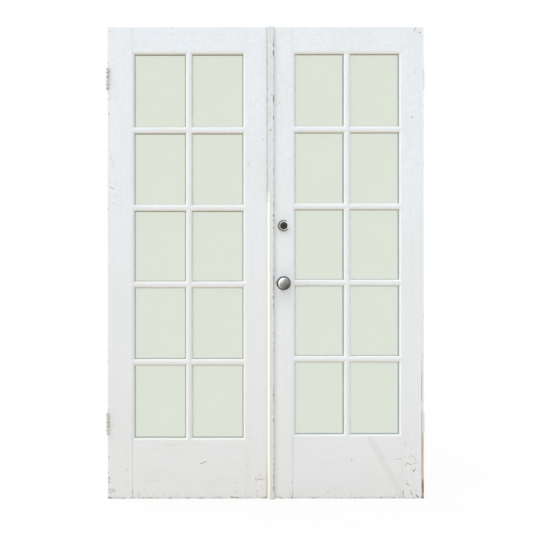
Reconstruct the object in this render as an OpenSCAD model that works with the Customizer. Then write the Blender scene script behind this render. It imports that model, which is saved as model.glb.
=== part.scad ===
// A pair of painted french doors: two stile-and-rail leaves with ten lights each, moulded glazing bars,
// a bevelled astragal on the meeting line, four butt hinges, a deadbolt and a knob lockset.
// Front face towards -Y, height along +Z, origin under the middle of the pair.

/* [Leaves] */
// Height of both leaves
leaf_h = 2032; // [1900:1:2200]
// Thickness of both leaves
leaf_t = 44.5; // [40:0.5:54]
// Width of the left leaf
left_w = 700; // [600:1:900]
// Width of the right leaf, its edge strip included
right_w = 659; // [600:1:900]
// Gap between the meeting edges
meeting_gap = 3; // [2.5:0.1:5]

/* [Left leaf members, edge to sight line] */
// Left hinge stile
left_hinge_sight = 115; // [95:0.5:150]
// Left meeting stile
left_meet_sight = 115; // [95:0.5:150]
// Left top rail
left_top_sight = 115; // [90:0.5:160]
// Left bottom rail
left_bottom_sight = 260; // [200:1:320]
// How much higher than an even share its upper rows of lights are, from the top; the lowest takes the rest
left_rows = [4.5, -1.5, -5.8, -1.7];

/* [Right leaf members, edge to sight line] */
// Right hinge stile, its edge strip included
right_hinge_sight = 104.5; // [95:0.5:150]
// Right meeting stile, which holds the locks
right_meet_sight = 104; // [95:0.5:150]
// Right top rail
right_top_sight = 114; // [90:0.5:160]
// Right bottom rail
right_bottom_sight = 275; // [200:1:320]
// How much higher than an even share its upper rows of lights are, from the top; the lowest takes the rest
right_rows = [5, -1.2, -4.4, -4.7];
// Width of the strip let on to the right leaf's hinge edge
strip_w = 9.5; // [6:0.5:14]

/* [Moulding and glazing] */
// Width of a glazing bar between sight lines
bar_w = 26.7; // [22:0.1:36]
// Width of the moulding between the face and the sight line
lip_w = 9.5; // [8:0.1:10.5]
// Depth from the leaf's face to the glass
lip_d = 12; // [11:0.1:14]
// Depth of the quirk between the face and the ovolo
quirk_d = 1.6; // [1:0.1:2]
// Width of the flat at the bottom of the quirk
quirk_w = 1.2; // [0.8:0.1:1.8]
// Width of the fillet between the ovolo and the light
fillet_w = 1.3; // [0.8:0.1:1.8]
// Thickness of the glass
glass_t = 4; // [3:0.5:6]
// Clearance round each pane in its rebate
glass_clear = 2; // [1:0.5:4]
// Depth of the glazing beads behind the glass
bead_d = 20; // [12:0.5:22]
// Radius of the glazing beads' rounded edge
bead_r = 6; // [3:0.5:7]

/* [Joinery] */
// Thickness of the tenons
tenon_t = 14; // [10:0.5:16]
// Depth from the face to the tenons
tenon_d = 17; // [14:0.5:20]
// Length of the rails' tenons
rail_tenon = 62; // [40:1:66]
// Distance between a rail's outer edge and its tenon
haunch = 26; // [15:1:40]
// Length of the glazing bars' stub tenons
stub_tenon = 8; // [4:0.5:8]
// Thickness of the stub tenons
stub_t = 5; // [3:0.5:6]

/* [Astragal] */
// Width of the astragal
astragal_w = 28; // [24:0.5:40]
// How far the astragal stands off the leaves' faces
astragal_p = 18; // [12:0.5:24]
// Width of its bevelled left side
astragal_bevel = 9.5; // [5:0.5:14]
// Height of the square edge below the bevel
astragal_edge = 6; // [3:0.5:12]
// Radius of its right-hand arris
astragal_r = 2; // [1:0.25:4]
// How far the astragal lies over the right leaf
astragal_lap = 12.7; // [6:0.1:16]
// Running gap between the astragal and the right leaf
stop_gap = 0.3; // [0.2:0.05:0.8]

/* [Hinges] */
// Height of a hinge
hinge_h = 88.9; // [76:0.1:102]
// Thickness of a hinge leaf
plate_t = 2.3; // [1.8:0.1:3.2]
// How far a hinge leaf reaches over the edge, from the leaf's face
plate_reach = 32; // [28:0.5:38]
// Radius of the hinge barrel
barrel_r = 6; // [5.5:0.1:7.5]
// Radius of the hinge pin
pin_r = 3; // [2.5:0.1:3.6]
// Radial running clearance of the pin
pin_clear = 0.06; // [0.02:0.01:0.1]
// Number of knuckles in a barrel
knuckles = 5; // [3:2:5]
// Gap between neighbouring knuckles
knuckle_gap = 0.3; // [0.2:0.05:0.5]
// Gap between the hinge edge and the jamb
jamb_gap = 3; // [2:0.1:4]
// Running gap between the barrel and the leaf's face
barrel_gap = 0.4; // [0.3:0.05:1]
// Height of the lower hinges' centres
hinge_low = 323; // [200:1:400]
// Distance of the upper hinges' centres from the top
hinge_top = 223; // [150:1:300]
// Radius of the screw holes in the frame plates
frame_hole_r = 2.75; // [2.2:0.05:3]
// Radius of the screws that hold the door plates
screw_r = 2.5; // [2:0.05:3]
// Distance between the outer screw holes of a hinge leaf
screw_spacing = 64; // [50:1:70]
// Distance of the outer screw holes from the leaf's face
screw_line = 21; // [18:0.5:24]
// How much nearer to the face the middle screw hole lies
screw_stagger = 8; // [4:0.5:10]
// Radius of the screw heads
screw_head_r = 4.6; // [4:0.1:5.5]
// Depth of the screws' countersinks
countersink_d = 1.4; // [0.8:0.1:1.6]
// Length of the hinge screws below the plate
screw_l = 25; // [16:1:32]

/* [Knob lockset] */
// Height of the knob
knob_z = 929; // [800:1:1100]
// Distance of the knob and deadbolt from the meeting edge
backset = 55; // [50:0.5:60]
// Radius of the knob
knob_r = 25.5; // [22:0.5:28]
// How far the knob stands off the leaf's face
knob_reach = 60; // [50:1:70]
// Depth of the knob's head
knob_head = 33; // [26:0.5:36]
// Radius of the knob's rounded edge
knob_edge = 9; // [5:0.5:12]
// Radius of the dome on the knob's face
knob_dome = 62; // [45:1:90]
// Radius of the dimple in the knob's face
dimple_r = 3.5; // [2:0.5:5]
// Radius of the knob's neck
neck_r = 11; // [9:0.5:13]
// Radius of the roses
rose_r = 31.5; // [29:0.5:34]
// Thickness of the roses
rose_t = 9; // [6:0.5:12]
// Thickness of the roses at their rim
rose_rim = 2.5; // [1:0.5:4]
// Side of the square spindle
spindle_s = 8; // [6:0.5:9]
// How far the spindle reaches into each knob, from the leaf's face
spindle_in = 46; // [30:1:47]
// Radius of the cross bore behind the roses
cross_bore_r = 27; // [20:0.5:27]
// Radial running clearance of the knob's neck, the bolts and the lock cylinder
run_clear = 0.08; // [0.03:0.01:0.1]

/* [Deadbolt] */
// Height of the deadbolt
deadbolt_z = 1176; // [1100:1:1300]
// Radius of the collar at the leaf's face
collar_r = 24.5; // [22:0.5:27]
// Radius of the collar at its front
collar_front_r = 19.5; // [18.5:0.5:21]
// How far the collar stands off the face
collar_p = 17; // [10:0.5:22]
// Radius of the lock cylinder
cylinder_r = 16.4; // [14:0.1:17]
// How far the cylinder's face lies behind the collar's front
cylinder_set = 1.5; // [0.5:0.5:4]
// How far the lock cylinder reaches into the leaf
cylinder_in = 8; // [4:0.5:9]
// Radius of the key plug
plug_r = 6.5; // [5.5:0.1:8]
// Width of the keyway
keyway_w = 1.8; // [1:0.1:2.5]
// Height of the keyway
keyway_h = 8; // [6:0.5:9]
// Radius of the deadbolt's cross bore
deadbolt_bore_r = 20; // [18:0.5:21]
// Length of the thumbturn's grip
grip_w = 32; // [24:1:38]
// Thickness of the thumbturn's grip
grip_t = 7; // [5:0.5:9]
// How far the thumbturn stands off its rose
grip_p = 20; // [14:1:26]
// Running gap between the grip and the thumbturn's rose
grip_gap = 0.3; // [0.2:0.05:1]
// Radius of the thumbturn's stem
stem_r = 6; // [5:0.5:8]

/* [Bolts and plates] */
// Radius of the latch bolt and deadbolt
bolt_r = 7.5; // [6:0.1:8]
// Wall of the tubes that the bolts run in
case_wall = 2; // [1.5:0.1:2.5]
// Throw of the latch bolt
latch_throw = 12; // [9:0.5:13]
// Throw of the deadbolt
deadbolt_throw = 25.4; // [20:0.1:26]
// Height of the face plates and strikes
face_h = 57; // [52:0.5:70]
// Width of the face plates
face_w = 25; // [22:0.5:28]
// Thickness of the face plates and strikes
face_t = 2; // [1.5:0.1:3]
// Width of the strikes
strike_w = 28; // [24:0.5:32]
// Distance between the two screws of a face plate or strike
face_screws = 42; // [38:0.5:46]
// Clearance round a bolt in its strike and keep
keep_clear = 1.5; // [1:0.1:2.5]

/* [Hidden] */
$fn = 64;

// Colours
paint = "#e8ebec";
old_paint = "#e2e0d8";
bare_wood = "#cdbfa9";
pale_glass = "#dce3d7";
satin_nickel = "#9a9a96";
dark_steel = "#3a3f42";
plated_steel = "#8c8f90";

// Derived places
pair_w = left_w + meeting_gap + right_w;
left_meet_x = left_w - pair_w / 2;
right_meet_x = pair_w / 2 - right_w;
face_y = -leaf_t / 2;
flat_w = bar_w - 2 * lip_w;
ovolo_r = lip_w - quirk_w - fillet_w;
glass_y = face_y + lip_d;
lock_x = right_meet_x + backset;
bar_count = len(left_rows);
row_count = bar_count + 1;
hinge_z = [hinge_low, leaf_h - hinge_top];
slack = 1;

// A leaf is described by its width, its four members to the sight lines, its rows and its edge strip
LEFT = [left_w, left_hinge_sight, left_meet_sight, left_top_sight, left_bottom_sight, left_rows, 0];
RIGHT = [
    right_w, right_hinge_sight, right_meet_sight, right_top_sight, right_bottom_sight, right_rows, strip_w
];

function width(leaf) = leaf[0];
function hinge_face(leaf) = leaf[1] - lip_w;
function meet_face(leaf) = leaf[2] - lip_w;
function top_face(leaf) = leaf[3] - lip_w;
function bottom_face(leaf) = leaf[4] - lip_w;
function strip(leaf) = leaf[6];
function sum(list, count) = count == 0 ? 0 : list[count - 1] + sum(list, count - 1);
function light_w(leaf) = (width(leaf) - leaf[1] - leaf[2] - bar_w) / 2;
function upright_u(leaf) = leaf[1] + light_w(leaf) + bar_w / 2;
function row_share(leaf) = (leaf_h - leaf[3] - leaf[4] - bar_count * bar_w) / row_count;
function light_h(leaf, row) = row_share(leaf) + (row < bar_count ? leaf[5][row] : -sum(leaf[5], bar_count));
function light_top(leaf, row) = leaf_h - leaf[3] - row * (row_share(leaf) + bar_w) - sum(leaf[5], row);
function bar_z(leaf, row) = light_top(leaf, row) - light_h(leaf, row) - bar_w / 2;
function light_u(leaf, column) = column == 0 ? leaf[1] : upright_u(leaf) + bar_w / 2;

// A leaf is drawn with u from its hinge edge to its meeting edge and put in its place by this
module place(leaf) {
    if (leaf == LEFT) translate([-pair_w / 2, 0, 0]) children();
    else translate([pair_w / 2, 0, 0]) mirror([1, 0, 0]) children();
}

// Sections: x runs from a member's outer edge to the light, y from the leaf's front to its back

module lip_section() {
    difference() {
        translate([0, quirk_d]) square([lip_w, lip_d - quirk_d]);
        difference() {
            translate([quirk_w, quirk_d - slack]) square([lip_w, ovolo_r + slack]);
            translate([quirk_w, quirk_d + ovolo_r]) circle(ovolo_r);
            translate([quirk_w - slack, quirk_d + ovolo_r]) square([lip_w + 2 * slack, slack]);
        }
    }
}

module member_section(face) {
    translate([0, face_y]) {
        square([face, leaf_t]);
        translate([face, 0]) lip_section();
    }
}

module bar_section() {
    translate([0, face_y]) {
        translate([-flat_w / 2, 0]) square([flat_w, leaf_t]);
        for (side = [0, 1]) mirror([side, 0]) translate([flat_w / 2, 0]) lip_section();
    }
}

// Lips of the stiles and rails alone, which cope the ends of what meets them

module upright_lip(at, z0, z1, turned = false) {
    translate([at, face_y, z0]) mirror([turned ? 1 : 0, 0, 0]) linear_extrude(z1 - z0) lip_section();
}

module level_lip(at, u0, u1, turned = false) {
    translate([u0, face_y, at]) mirror([0, 0, turned ? 1 : 0]) rotate([0, 90, 0])
        linear_extrude(u1 - u0) lip_section();
}

// Tenons, drawn once and used for the tenon and its mortise

module rail_tenons(leaf, z0, z1) {
    for (at = [hinge_face(leaf) - rail_tenon, width(leaf) - meet_face(leaf)])
        translate([at, face_y + tenon_d, z0]) cube([rail_tenon, tenon_t, z1 - z0]);
}

module top_tenons(leaf) {
    rail_tenons(leaf, leaf_h - top_face(leaf), leaf_h - haunch);
}

module bottom_tenons(leaf) {
    rail_tenons(leaf, haunch, bottom_face(leaf));
}

module bar_stub(leaf, row, column) {
    at = column == 0 ? hinge_face(leaf) - stub_tenon : width(leaf) - meet_face(leaf);
    translate([at, face_y + tenon_d, bar_z(leaf, row) - stub_t / 2]) cube([stub_tenon, tenon_t, stub_t]);
}

module upright_stubs(leaf) {
    for (at = [bottom_face(leaf) - stub_tenon, leaf_h - top_face(leaf)])
        translate([upright_u(leaf) - stub_t / 2, face_y + tenon_d, at]) cube([stub_t, tenon_t, stub_tenon]);
}

// Stiles, rails and bars of one leaf

module hinge_stile(leaf) {
    difference() {
        translate([strip(leaf), 0, 0]) linear_extrude(leaf_h) member_section(hinge_face(leaf) - strip(leaf));
        top_tenons(leaf);
        bottom_tenons(leaf);
        for (row = [0 : bar_count - 1]) bar_stub(leaf, row, 0);
        hinge_cuts(leaf);
    }
}

module meeting_stile(leaf) {
    difference() {
        translate([width(leaf), 0, 0]) mirror([1, 0, 0])
            linear_extrude(leaf_h) member_section(meet_face(leaf));
        top_tenons(leaf);
        bottom_tenons(leaf);
        for (row = [0 : bar_count - 1]) bar_stub(leaf, row, 1);
    }
}

module coped_to_stiles(leaf, z0, z1) {
    difference() {
        children();
        upright_lip(hinge_face(leaf), z0 - slack, z1 + slack);
        upright_lip(width(leaf) - meet_face(leaf), z0 - slack, z1 + slack, true);
    }
}

module rail(leaf, face) {
    rail_w = width(leaf) - hinge_face(leaf) - meet_face(leaf);
    translate([hinge_face(leaf), 0, 0]) rotate([0, 90, 0]) linear_extrude(rail_w) member_section(face);
}

module top_rail(leaf) {
    difference() {
        union() {
            coped_to_stiles(leaf, leaf_h - leaf[3], leaf_h)
                translate([0, 0, leaf_h]) rail(leaf, top_face(leaf));
            top_tenons(leaf);
        }
        upright_stubs(leaf);
    }
}

module bottom_rail(leaf) {
    difference() {
        union() {
            coped_to_stiles(leaf, 0, leaf[4]) mirror([0, 0, 1]) rail(leaf, bottom_face(leaf));
            bottom_tenons(leaf);
        }
        upright_stubs(leaf);
    }
}

module upright_bar(leaf) {
    z0 = bottom_face(leaf);
    z1 = leaf_h - top_face(leaf);
    reach = bar_w / 2 + slack;
    difference() {
        translate([upright_u(leaf), 0, z0]) linear_extrude(z1 - z0) bar_section();
        level_lip(z1, upright_u(leaf) - reach, upright_u(leaf) + reach);
        level_lip(z0, upright_u(leaf) - reach, upright_u(leaf) + reach, true);
    }
    upright_stubs(leaf);
}

module cross_bar(leaf, row, column) {
    u0 = column == 0 ? hinge_face(leaf) : upright_u(leaf) + flat_w / 2;
    u1 = column == 0 ? upright_u(leaf) - flat_w / 2 : width(leaf) - meet_face(leaf);
    z = bar_z(leaf, row);
    reach = bar_w / 2 + slack;
    difference() {
        translate([u0, 0, z]) rotate([0, 90, 0]) linear_extrude(u1 - u0) bar_section();
        upright_lip(u0, z - reach, z + reach);
        upright_lip(u1, z - reach, z + reach, true);
    }
    bar_stub(leaf, row, column);
}

module cross_bars(leaf, row) {
    for (column = [0, 1]) cross_bar(leaf, row, column);
}

// Glass and its beads

module panes(leaf, column) {
    cover = lip_w - glass_clear;
    for (row = [0 : row_count - 1])
        translate([light_u(leaf, column) - cover, glass_y, light_top(leaf, row) - light_h(leaf, row) - cover])
            cube([light_w(leaf) + 2 * cover, glass_t, light_h(leaf, row) + 2 * cover]);
}

module bead_section() {
    square([lip_w - bead_r, bead_d]);
    square([lip_w, bead_d - bead_r]);
    translate([lip_w - bead_r, bead_d - bead_r]) circle(bead_r);
}

// One bead along x with its back on the rebate at z = 0, mitred at both ends
module bead(length) {
    intersection() {
        translate([-length / 2, 0, 0]) rotate([90, 0, 90])
            linear_extrude(length) mirror([1, -1]) bead_section();
        rotate([90, 0, 0]) linear_extrude(2 * bead_d + slack, center = true)
            polygon([
                [-length / 2, 0], [length / 2, 0], [length / 2 - lip_w, lip_w], [lip_w - length / 2, lip_w]
            ]);
    }
}

module beads(leaf) {
    for (row = [0 : row_count - 1], column = [0, 1]) {
        w = light_w(leaf) + 2 * lip_w;
        h = light_h(leaf, row) + 2 * lip_w;
        middle_u = light_u(leaf, column) + light_w(leaf) / 2;
        translate([middle_u, glass_y + glass_t, light_top(leaf, row) + lip_w - h / 2])
            for (quarter = [0 : 3])
                rotate([0, quarter * 90, 0])
                    translate([0, 0, -(quarter % 2 == 0 ? h : w) / 2])
                        bead(quarter % 2 == 0 ? w : h);
    }
}

module edge_strip() {
    difference() {
        translate([0, face_y, 0]) cube([strip_w, leaf_t, leaf_h]);
        hinge_cuts(RIGHT);
    }
}

// The astragal is fixed to the left leaf and covers the gap, so the right leaf closes against it
module astragal_bar() {
    right = right_meet_x + astragal_lap;
    left = right - astragal_w;
    front = face_y - astragal_p;
    difference() {
        union() {
            linear_extrude(leaf_h) polygon([
                [left, face_y], [left, face_y - astragal_edge], [left + astragal_bevel, front],
                [right - astragal_r, front], [right - astragal_r, front + astragal_r],
                [right, front + astragal_r], [right, face_y]
            ]);
            translate([right - astragal_r, front + astragal_r, 0]) cylinder(r = astragal_r, h = leaf_h);
        }
        translate([left_meet_x, face_y - stop_gap, -slack])
            cube([astragal_w, stop_gap + slack, leaf_h + 2 * slack]);
    }
}

// Butt hinges: the left leaf's barrels stand in front of it and the right leaf's behind it

barrel_u = -jamb_gap / 2;
barrel_y = face_y - barrel_gap - barrel_r;
plate_end = face_y + plate_reach;
knuckle_h = (hinge_h - (knuckles - 1) * knuckle_gap) / knuckles;

module hinge_side(leaf) {
    mirror([0, leaf == RIGHT ? 1 : 0, 0]) children();
}

module knuckle_row(from, radius, clear) {
    for (k = [from : 2 : knuckles - 1])
        translate([barrel_u, barrel_y, -hinge_h / 2 + k * (knuckle_h + knuckle_gap) - clear])
            cylinder(r = radius, h = knuckle_h + 2 * clear);
}

module screw_places() {
    for (k = [-1, 0, 1])
        translate([0, face_y + screw_line - (k == 0 ? screw_stagger : 0), k * screw_spacing / 2]) children();
}

// Screw along +x with the top of its head at x = 0
module countersunk_screw(radius, shank) {
    rotate([0, 90, 0]) {
        cylinder(r1 = screw_head_r, r2 = radius, h = countersink_d);
        cylinder(r = radius, h = shank);
    }
}

// One leaf of a hinge with its plate between u0 and u0 + plate_t and its knuckles from the given one on
module hinge_plate(u0, from, hole_r, head_u, head_way) {
    difference() {
        union() {
            difference() {
                translate([u0, barrel_y, -hinge_h / 2]) cube([plate_t, plate_end - barrel_y, hinge_h]);
                knuckle_row(1 - from, barrel_r + barrel_gap, knuckle_gap);
            }
            knuckle_row(from, barrel_r, 0);
        }
        translate([barrel_u, barrel_y, -hinge_h]) cylinder(r = pin_r + pin_clear, h = 2 * hinge_h);
        screw_places() translate([head_u, 0, 0]) mirror([head_way, 0, 0])
            countersunk_screw(hole_r, 2 * plate_t);
    }
}

module door_plate(leaf, which) {
    hinge_side(leaf) translate([0, 0, hinge_z[which]]) hinge_plate(0, 1, screw_r, 0, 0);
}

module frame_plate(leaf, which) {
    hinge_side(leaf) translate([0, 0, hinge_z[which]])
        hinge_plate(-jamb_gap - plate_t, 0, frame_hole_r, -jamb_gap, 1);
}

// The pin's flat heads lie on the outer knuckles
module hinge_pin() {
    head_h = 1.6;
    head_set = 0.5;
    translate([barrel_u, barrel_y, 0]) {
        cylinder(r = pin_r, h = hinge_h + 2 * head_h, center = true);
        for (end = [0, 1]) mirror([0, 0, end]) translate([0, 0, hinge_h / 2])
            cylinder(r1 = barrel_r - head_set, r2 = pin_r, h = head_h);
    }
}

// What a leaf's edge loses for its hinges: the gains of the plates and the screws' holes
module hinge_cuts(leaf) {
    for (z = hinge_z) hinge_side(leaf) translate([0, 0, z]) {
        translate([-slack, face_y - slack, -hinge_h / 2])
            cube([slack + plate_t, plate_end - face_y + slack, hinge_h]);
        screw_places() rotate([0, 90, 0]) cylinder(r = screw_r, h = screw_l);
    }
}

module hinge_screws(leaf) {
    slot_w = 1.2;
    slot_d = 1;
    for (z = hinge_z) hinge_side(leaf) translate([0, 0, z]) screw_places() difference() {
        countersunk_screw(screw_r, screw_l);
        cube([2 * slot_d, slot_w, 2 * screw_head_r + slack], center = true);
    }
}

// Locks, in place on the right leaf's meeting stile

case_r = bolt_r + case_wall;
cross_hole_r = spindle_s;
bolt_set = 0.2;
bolt_back = 1;
bolt_l = backset - cross_hole_r - bolt_set - bolt_back;

module across(z, side = -1) {
    translate([lock_x, side < 0 ? face_y : -face_y, z]) rotate([side < 0 ? 90 : -90, 0, 0]) children();
}

module along(z) {
    translate([right_meet_x, 0, z]) rotate([0, 90, 0]) children();
}

module face_screw_places(z) {
    for (way = [-1, 1]) translate([0, 0, z + way * face_screws / 2]) children();
}

// What the right meeting stile loses for its locks
module lock_cuts() {
    for (lock = [[knob_z, cross_bore_r], [deadbolt_z, deadbolt_bore_r]]) {
        translate([lock_x, 0, lock[0]]) rotate([90, 0, 0])
            cylinder(r = lock[1], h = leaf_t + 2 * slack, center = true);
        along(lock[0]) translate([0, 0, -slack]) cylinder(r = case_r, h = backset + slack);
        translate([right_meet_x - slack, -face_w / 2, lock[0] - face_h / 2])
            cube([face_t + slack, face_w, face_h]);
        face_screw_places(lock[0]) translate([right_meet_x, 0, 0]) rotate([0, 90, 0])
            cylinder(r = small_screw_r, h = small_screw_l);
    }
}

small_screw_r = 1.8;
small_head_r = 3.4;
small_sink = 1.2;
small_screw_l = 16;

// Small countersunk screw along +z with the top of its head at z = 0
module small_screw() {
    slot_w = 0.8;
    slot_d = 0.6;
    difference() {
        small_screw_hole();
        cube([slot_w, 2 * small_head_r + slack, 2 * slot_d], center = true);
    }
}

module small_screw_hole() {
    cylinder(r1 = small_head_r, r2 = small_screw_r, h = small_sink);
    cylinder(r = small_screw_r, h = small_screw_l);
}

module faceplate(z) {
    difference() {
        translate([right_meet_x, -face_w / 2, z - face_h / 2]) cube([face_t, face_w, face_h]);
        along(z) translate([0, 0, -slack]) cylinder(r = bolt_r + run_clear, h = face_t + 2 * slack);
        face_screw_places(z) translate([right_meet_x, 0, 0]) rotate([0, 90, 0]) small_screw_hole();
    }
}

// Tube that a bolt runs in, crossed by the hole for the spindle or tailpiece
module bolt_case(z) {
    inside = backset + cross_hole_r - face_t;
    difference() {
        along(z) translate([0, 0, face_t]) difference() {
            cylinder(r = case_r, h = inside + case_wall);
            translate([0, 0, -slack]) cylinder(r = bolt_r + run_clear, h = inside + slack);
        }
        translate([lock_x, 0, z]) rotate([90, 0, 0])
            cylinder(r = cross_hole_r, h = 4 * case_r, center = true);
    }
}

// A bolt drawn back, with its nose just behind the face plate's front
module round_bolt(z) {
    along(z) translate([0, 0, bolt_set]) cylinder(r = bolt_r, h = bolt_l);
}

module strike(z, hole_r) {
    difference() {
        translate([left_meet_x - face_t, -strike_w / 2, z - face_h / 2]) cube([face_t, strike_w, face_h]);
        translate([left_meet_x, 0, z]) rotate([0, 90, 0]) cylinder(r = hole_r, h = 4 * face_t, center = true);
        face_screw_places(z) translate([left_meet_x, 0, 0]) rotate([0, -90, 0]) small_screw_hole();
    }
}

keep_r = bolt_r + keep_clear;
keep_end = 4;

// What the left meeting stile loses for the strikes and the keeps behind them
module keep_cuts() {
    for (lock = [[knob_z, latch_throw], [deadbolt_z, deadbolt_throw]]) {
        translate([left_meet_x - face_t, -strike_w / 2, lock[0] - face_h / 2])
            cube([face_t + slack, strike_w, face_h]);
        translate([left_meet_x + slack, 0, lock[0]]) rotate([0, -90, 0])
            cylinder(r = keep_r, h = slack + lock[1] - meeting_gap + keep_end);
        face_screw_places(lock[0]) translate([left_meet_x, 0, 0]) rotate([0, -90, 0])
            cylinder(r = small_screw_r, h = small_screw_l);
    }
}

// The knob, from the leaf's face outwards along z
module knob_body() {
    head_z = knob_reach - knob_head;
    flare_z = rose_t + 4;
    flare_w = 5;
    flare_in = 3;
    dimple_d = 1.5;
    difference() {
        rotate_extrude() intersection() {
            union() {
                square([neck_r, head_z + slack]);
                polygon([
                    [0, flare_z], [neck_r, flare_z],
                    [neck_r + flare_w, head_z + flare_in], [0, head_z + flare_in]
                ]);
                translate([0, head_z]) square([knob_r - knob_edge, knob_head]);
                translate([0, head_z + knob_edge]) square([knob_r, knob_head - 2 * knob_edge]);
                for (at = [head_z + knob_edge, knob_reach - knob_edge])
                    translate([knob_r - knob_edge, at]) circle(knob_edge);
            }
            translate([0, knob_reach - knob_dome]) circle(knob_dome);
            square([knob_r + slack, knob_reach]);
        }
        translate([0, 0, knob_reach]) cylinder(r = dimple_r, h = 2 * dimple_d, center = true);
        cube([spindle_s, spindle_s, 2 * spindle_in], center = true);
    }
}

// A shallow dome with a thin rim
module rose() {
    rise = rose_t - rose_rim;
    dome_r = (rose_r * rose_r + rise * rise) / (2 * rise);
    difference() {
        rotate_extrude() intersection() {
            translate([0, rose_t - dome_r]) circle(dome_r, $fn = 360);
            square([rose_r, rose_t]);
        }
        translate([0, 0, -slack]) cylinder(r = neck_r + run_clear, h = rose_t + 2 * slack);
    }
}

// One module for each sub-part

module left_hinge_stile() { color(paint) place(LEFT) hinge_stile(LEFT); }
module left_meeting_stile() {
    color(paint) difference() {
        place(LEFT) meeting_stile(LEFT);
        keep_cuts();
    }
}
module left_top_rail() { color(paint) place(LEFT) top_rail(LEFT); }
module left_bottom_rail() { color(paint) place(LEFT) bottom_rail(LEFT); }
module left_upright_bar() { color(paint) place(LEFT) upright_bar(LEFT); }
module left_cross_bars(row) { color(paint) place(LEFT) cross_bars(LEFT, row); }
module left_outer_panes() { color(pale_glass) place(LEFT) panes(LEFT, 0); }
module left_inner_panes() { color(pale_glass) place(LEFT) panes(LEFT, 1); }
module left_glazing_beads() { color(paint) place(LEFT) beads(LEFT); }
module astragal() { color(old_paint) astragal_bar(); }

module right_hinge_stile() { color(paint) place(RIGHT) hinge_stile(RIGHT); }
module right_meeting_stile() {
    color(paint) difference() {
        place(RIGHT) meeting_stile(RIGHT);
        lock_cuts();
    }
}
module right_top_rail() { color(paint) place(RIGHT) top_rail(RIGHT); }
module right_bottom_rail() { color(paint) place(RIGHT) bottom_rail(RIGHT); }
module right_upright_bar() { color(paint) place(RIGHT) upright_bar(RIGHT); }
module right_cross_bars(row) { color(paint) place(RIGHT) cross_bars(RIGHT, row); }
module right_outer_panes() { color(pale_glass) place(RIGHT) panes(RIGHT, 0); }
module right_inner_panes() { color(pale_glass) place(RIGHT) panes(RIGHT, 1); }
module right_glazing_beads() { color(paint) place(RIGHT) beads(RIGHT); }
module right_edge_strip() { color(bare_wood) place(RIGHT) edge_strip(); }

module left_lower_door_plate() { color(old_paint) place(LEFT) door_plate(LEFT, 0); }
module left_upper_door_plate() { color(old_paint) place(LEFT) door_plate(LEFT, 1); }
module right_lower_door_plate() { color(old_paint) place(RIGHT) door_plate(RIGHT, 0); }
module right_upper_door_plate() { color(old_paint) place(RIGHT) door_plate(RIGHT, 1); }
module left_lower_frame_plate() { color(old_paint) place(LEFT) frame_plate(LEFT, 0); }
module left_upper_frame_plate() { color(old_paint) place(LEFT) frame_plate(LEFT, 1); }
module right_lower_frame_plate() { color(old_paint) place(RIGHT) frame_plate(RIGHT, 0); }
module right_upper_frame_plate() { color(old_paint) place(RIGHT) frame_plate(RIGHT, 1); }
module hinge_pins() {
    color(old_paint) for (leaf = [LEFT, RIGHT], z = hinge_z)
        place(leaf) hinge_side(leaf) translate([0, 0, z]) hinge_pin();
}
module left_hinge_screws() { color(plated_steel) place(LEFT) hinge_screws(LEFT); }
module right_hinge_screws() { color(plated_steel) place(RIGHT) hinge_screws(RIGHT); }

module knob_front() { color(satin_nickel) across(knob_z) knob_body(); }
module knob_back() { color(satin_nickel) across(knob_z, 1) knob_body(); }
module spindle() {
    color(plated_steel) translate([lock_x, 0, knob_z])
        cube([spindle_s, leaf_t + 2 * spindle_in, spindle_s], center = true);
}
module rose_front() { color(satin_nickel) across(knob_z) rose(); }
module rose_back() { color(satin_nickel) across(knob_z, 1) rose(); }
module latch_case() { color(plated_steel) bolt_case(knob_z); }
// The latch bolt's bevel faces the way that the leaf closes
module latch_bolt() {
    tip_w = 3;
    size = 2 * bolt_l;
    color(plated_steel) difference() {
        round_bolt(knob_z);
        along(knob_z) translate([0, bolt_r - tip_w, bolt_set]) rotate([-45, 0, 0])
            translate([-size / 2, -size, -size]) cube(size);
    }
}
module latch_faceplate() { color(satin_nickel) faceplate(knob_z); }
module latch_strike() { color(plated_steel) strike(knob_z, keep_r); }

module deadbolt_collar() {
    color(satin_nickel) across(deadbolt_z) difference() {
        cylinder(r1 = collar_r, r2 = collar_front_r, h = collar_p);
        translate([0, 0, -slack]) cylinder(r = cylinder_r + run_clear, h = collar_p + 2 * slack);
    }
}
module lock_cylinder() {
    length = cylinder_in + collar_p - cylinder_set;
    color(dark_steel) across(deadbolt_z) translate([0, 0, -cylinder_in]) difference() {
        cylinder(r = cylinder_r, h = length);
        translate([0, 0, -slack]) cylinder(r = plug_r + run_clear, h = length + 2 * slack);
    }
}
module key_plug() {
    color(plated_steel) across(deadbolt_z) difference() {
        translate([0, 0, -cylinder_in]) cylinder(r = plug_r, h = cylinder_in + collar_p - cylinder_set);
        translate([0, 0, collar_p]) cube([keyway_w, keyway_h, 2 * collar_p], center = true);
    }
}
module deadbolt_case() { color(plated_steel) bolt_case(deadbolt_z); }
module deadbolt_bolt() { color(plated_steel) round_bolt(deadbolt_z); }
module deadbolt_faceplate() { color(satin_nickel) faceplate(deadbolt_z); }
module deadbolt_strike() { color(plated_steel) strike(deadbolt_z, keep_r); }

module thumbturn() {
    color(satin_nickel) across(deadbolt_z, 1) {
        cylinder(r = stem_r, h = rose_t + slack);
        translate([0, 0, rose_t + grip_gap]) difference() {
            cylinder(r = grip_w / 2, h = grip_p);
            for (way = [0, 1]) mirror([way, 0, 0])
                translate([grip_t / 2, -grip_w, -slack]) cube([grip_w, 2 * grip_w, grip_p + 2 * slack]);
        }
    }
}
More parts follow.
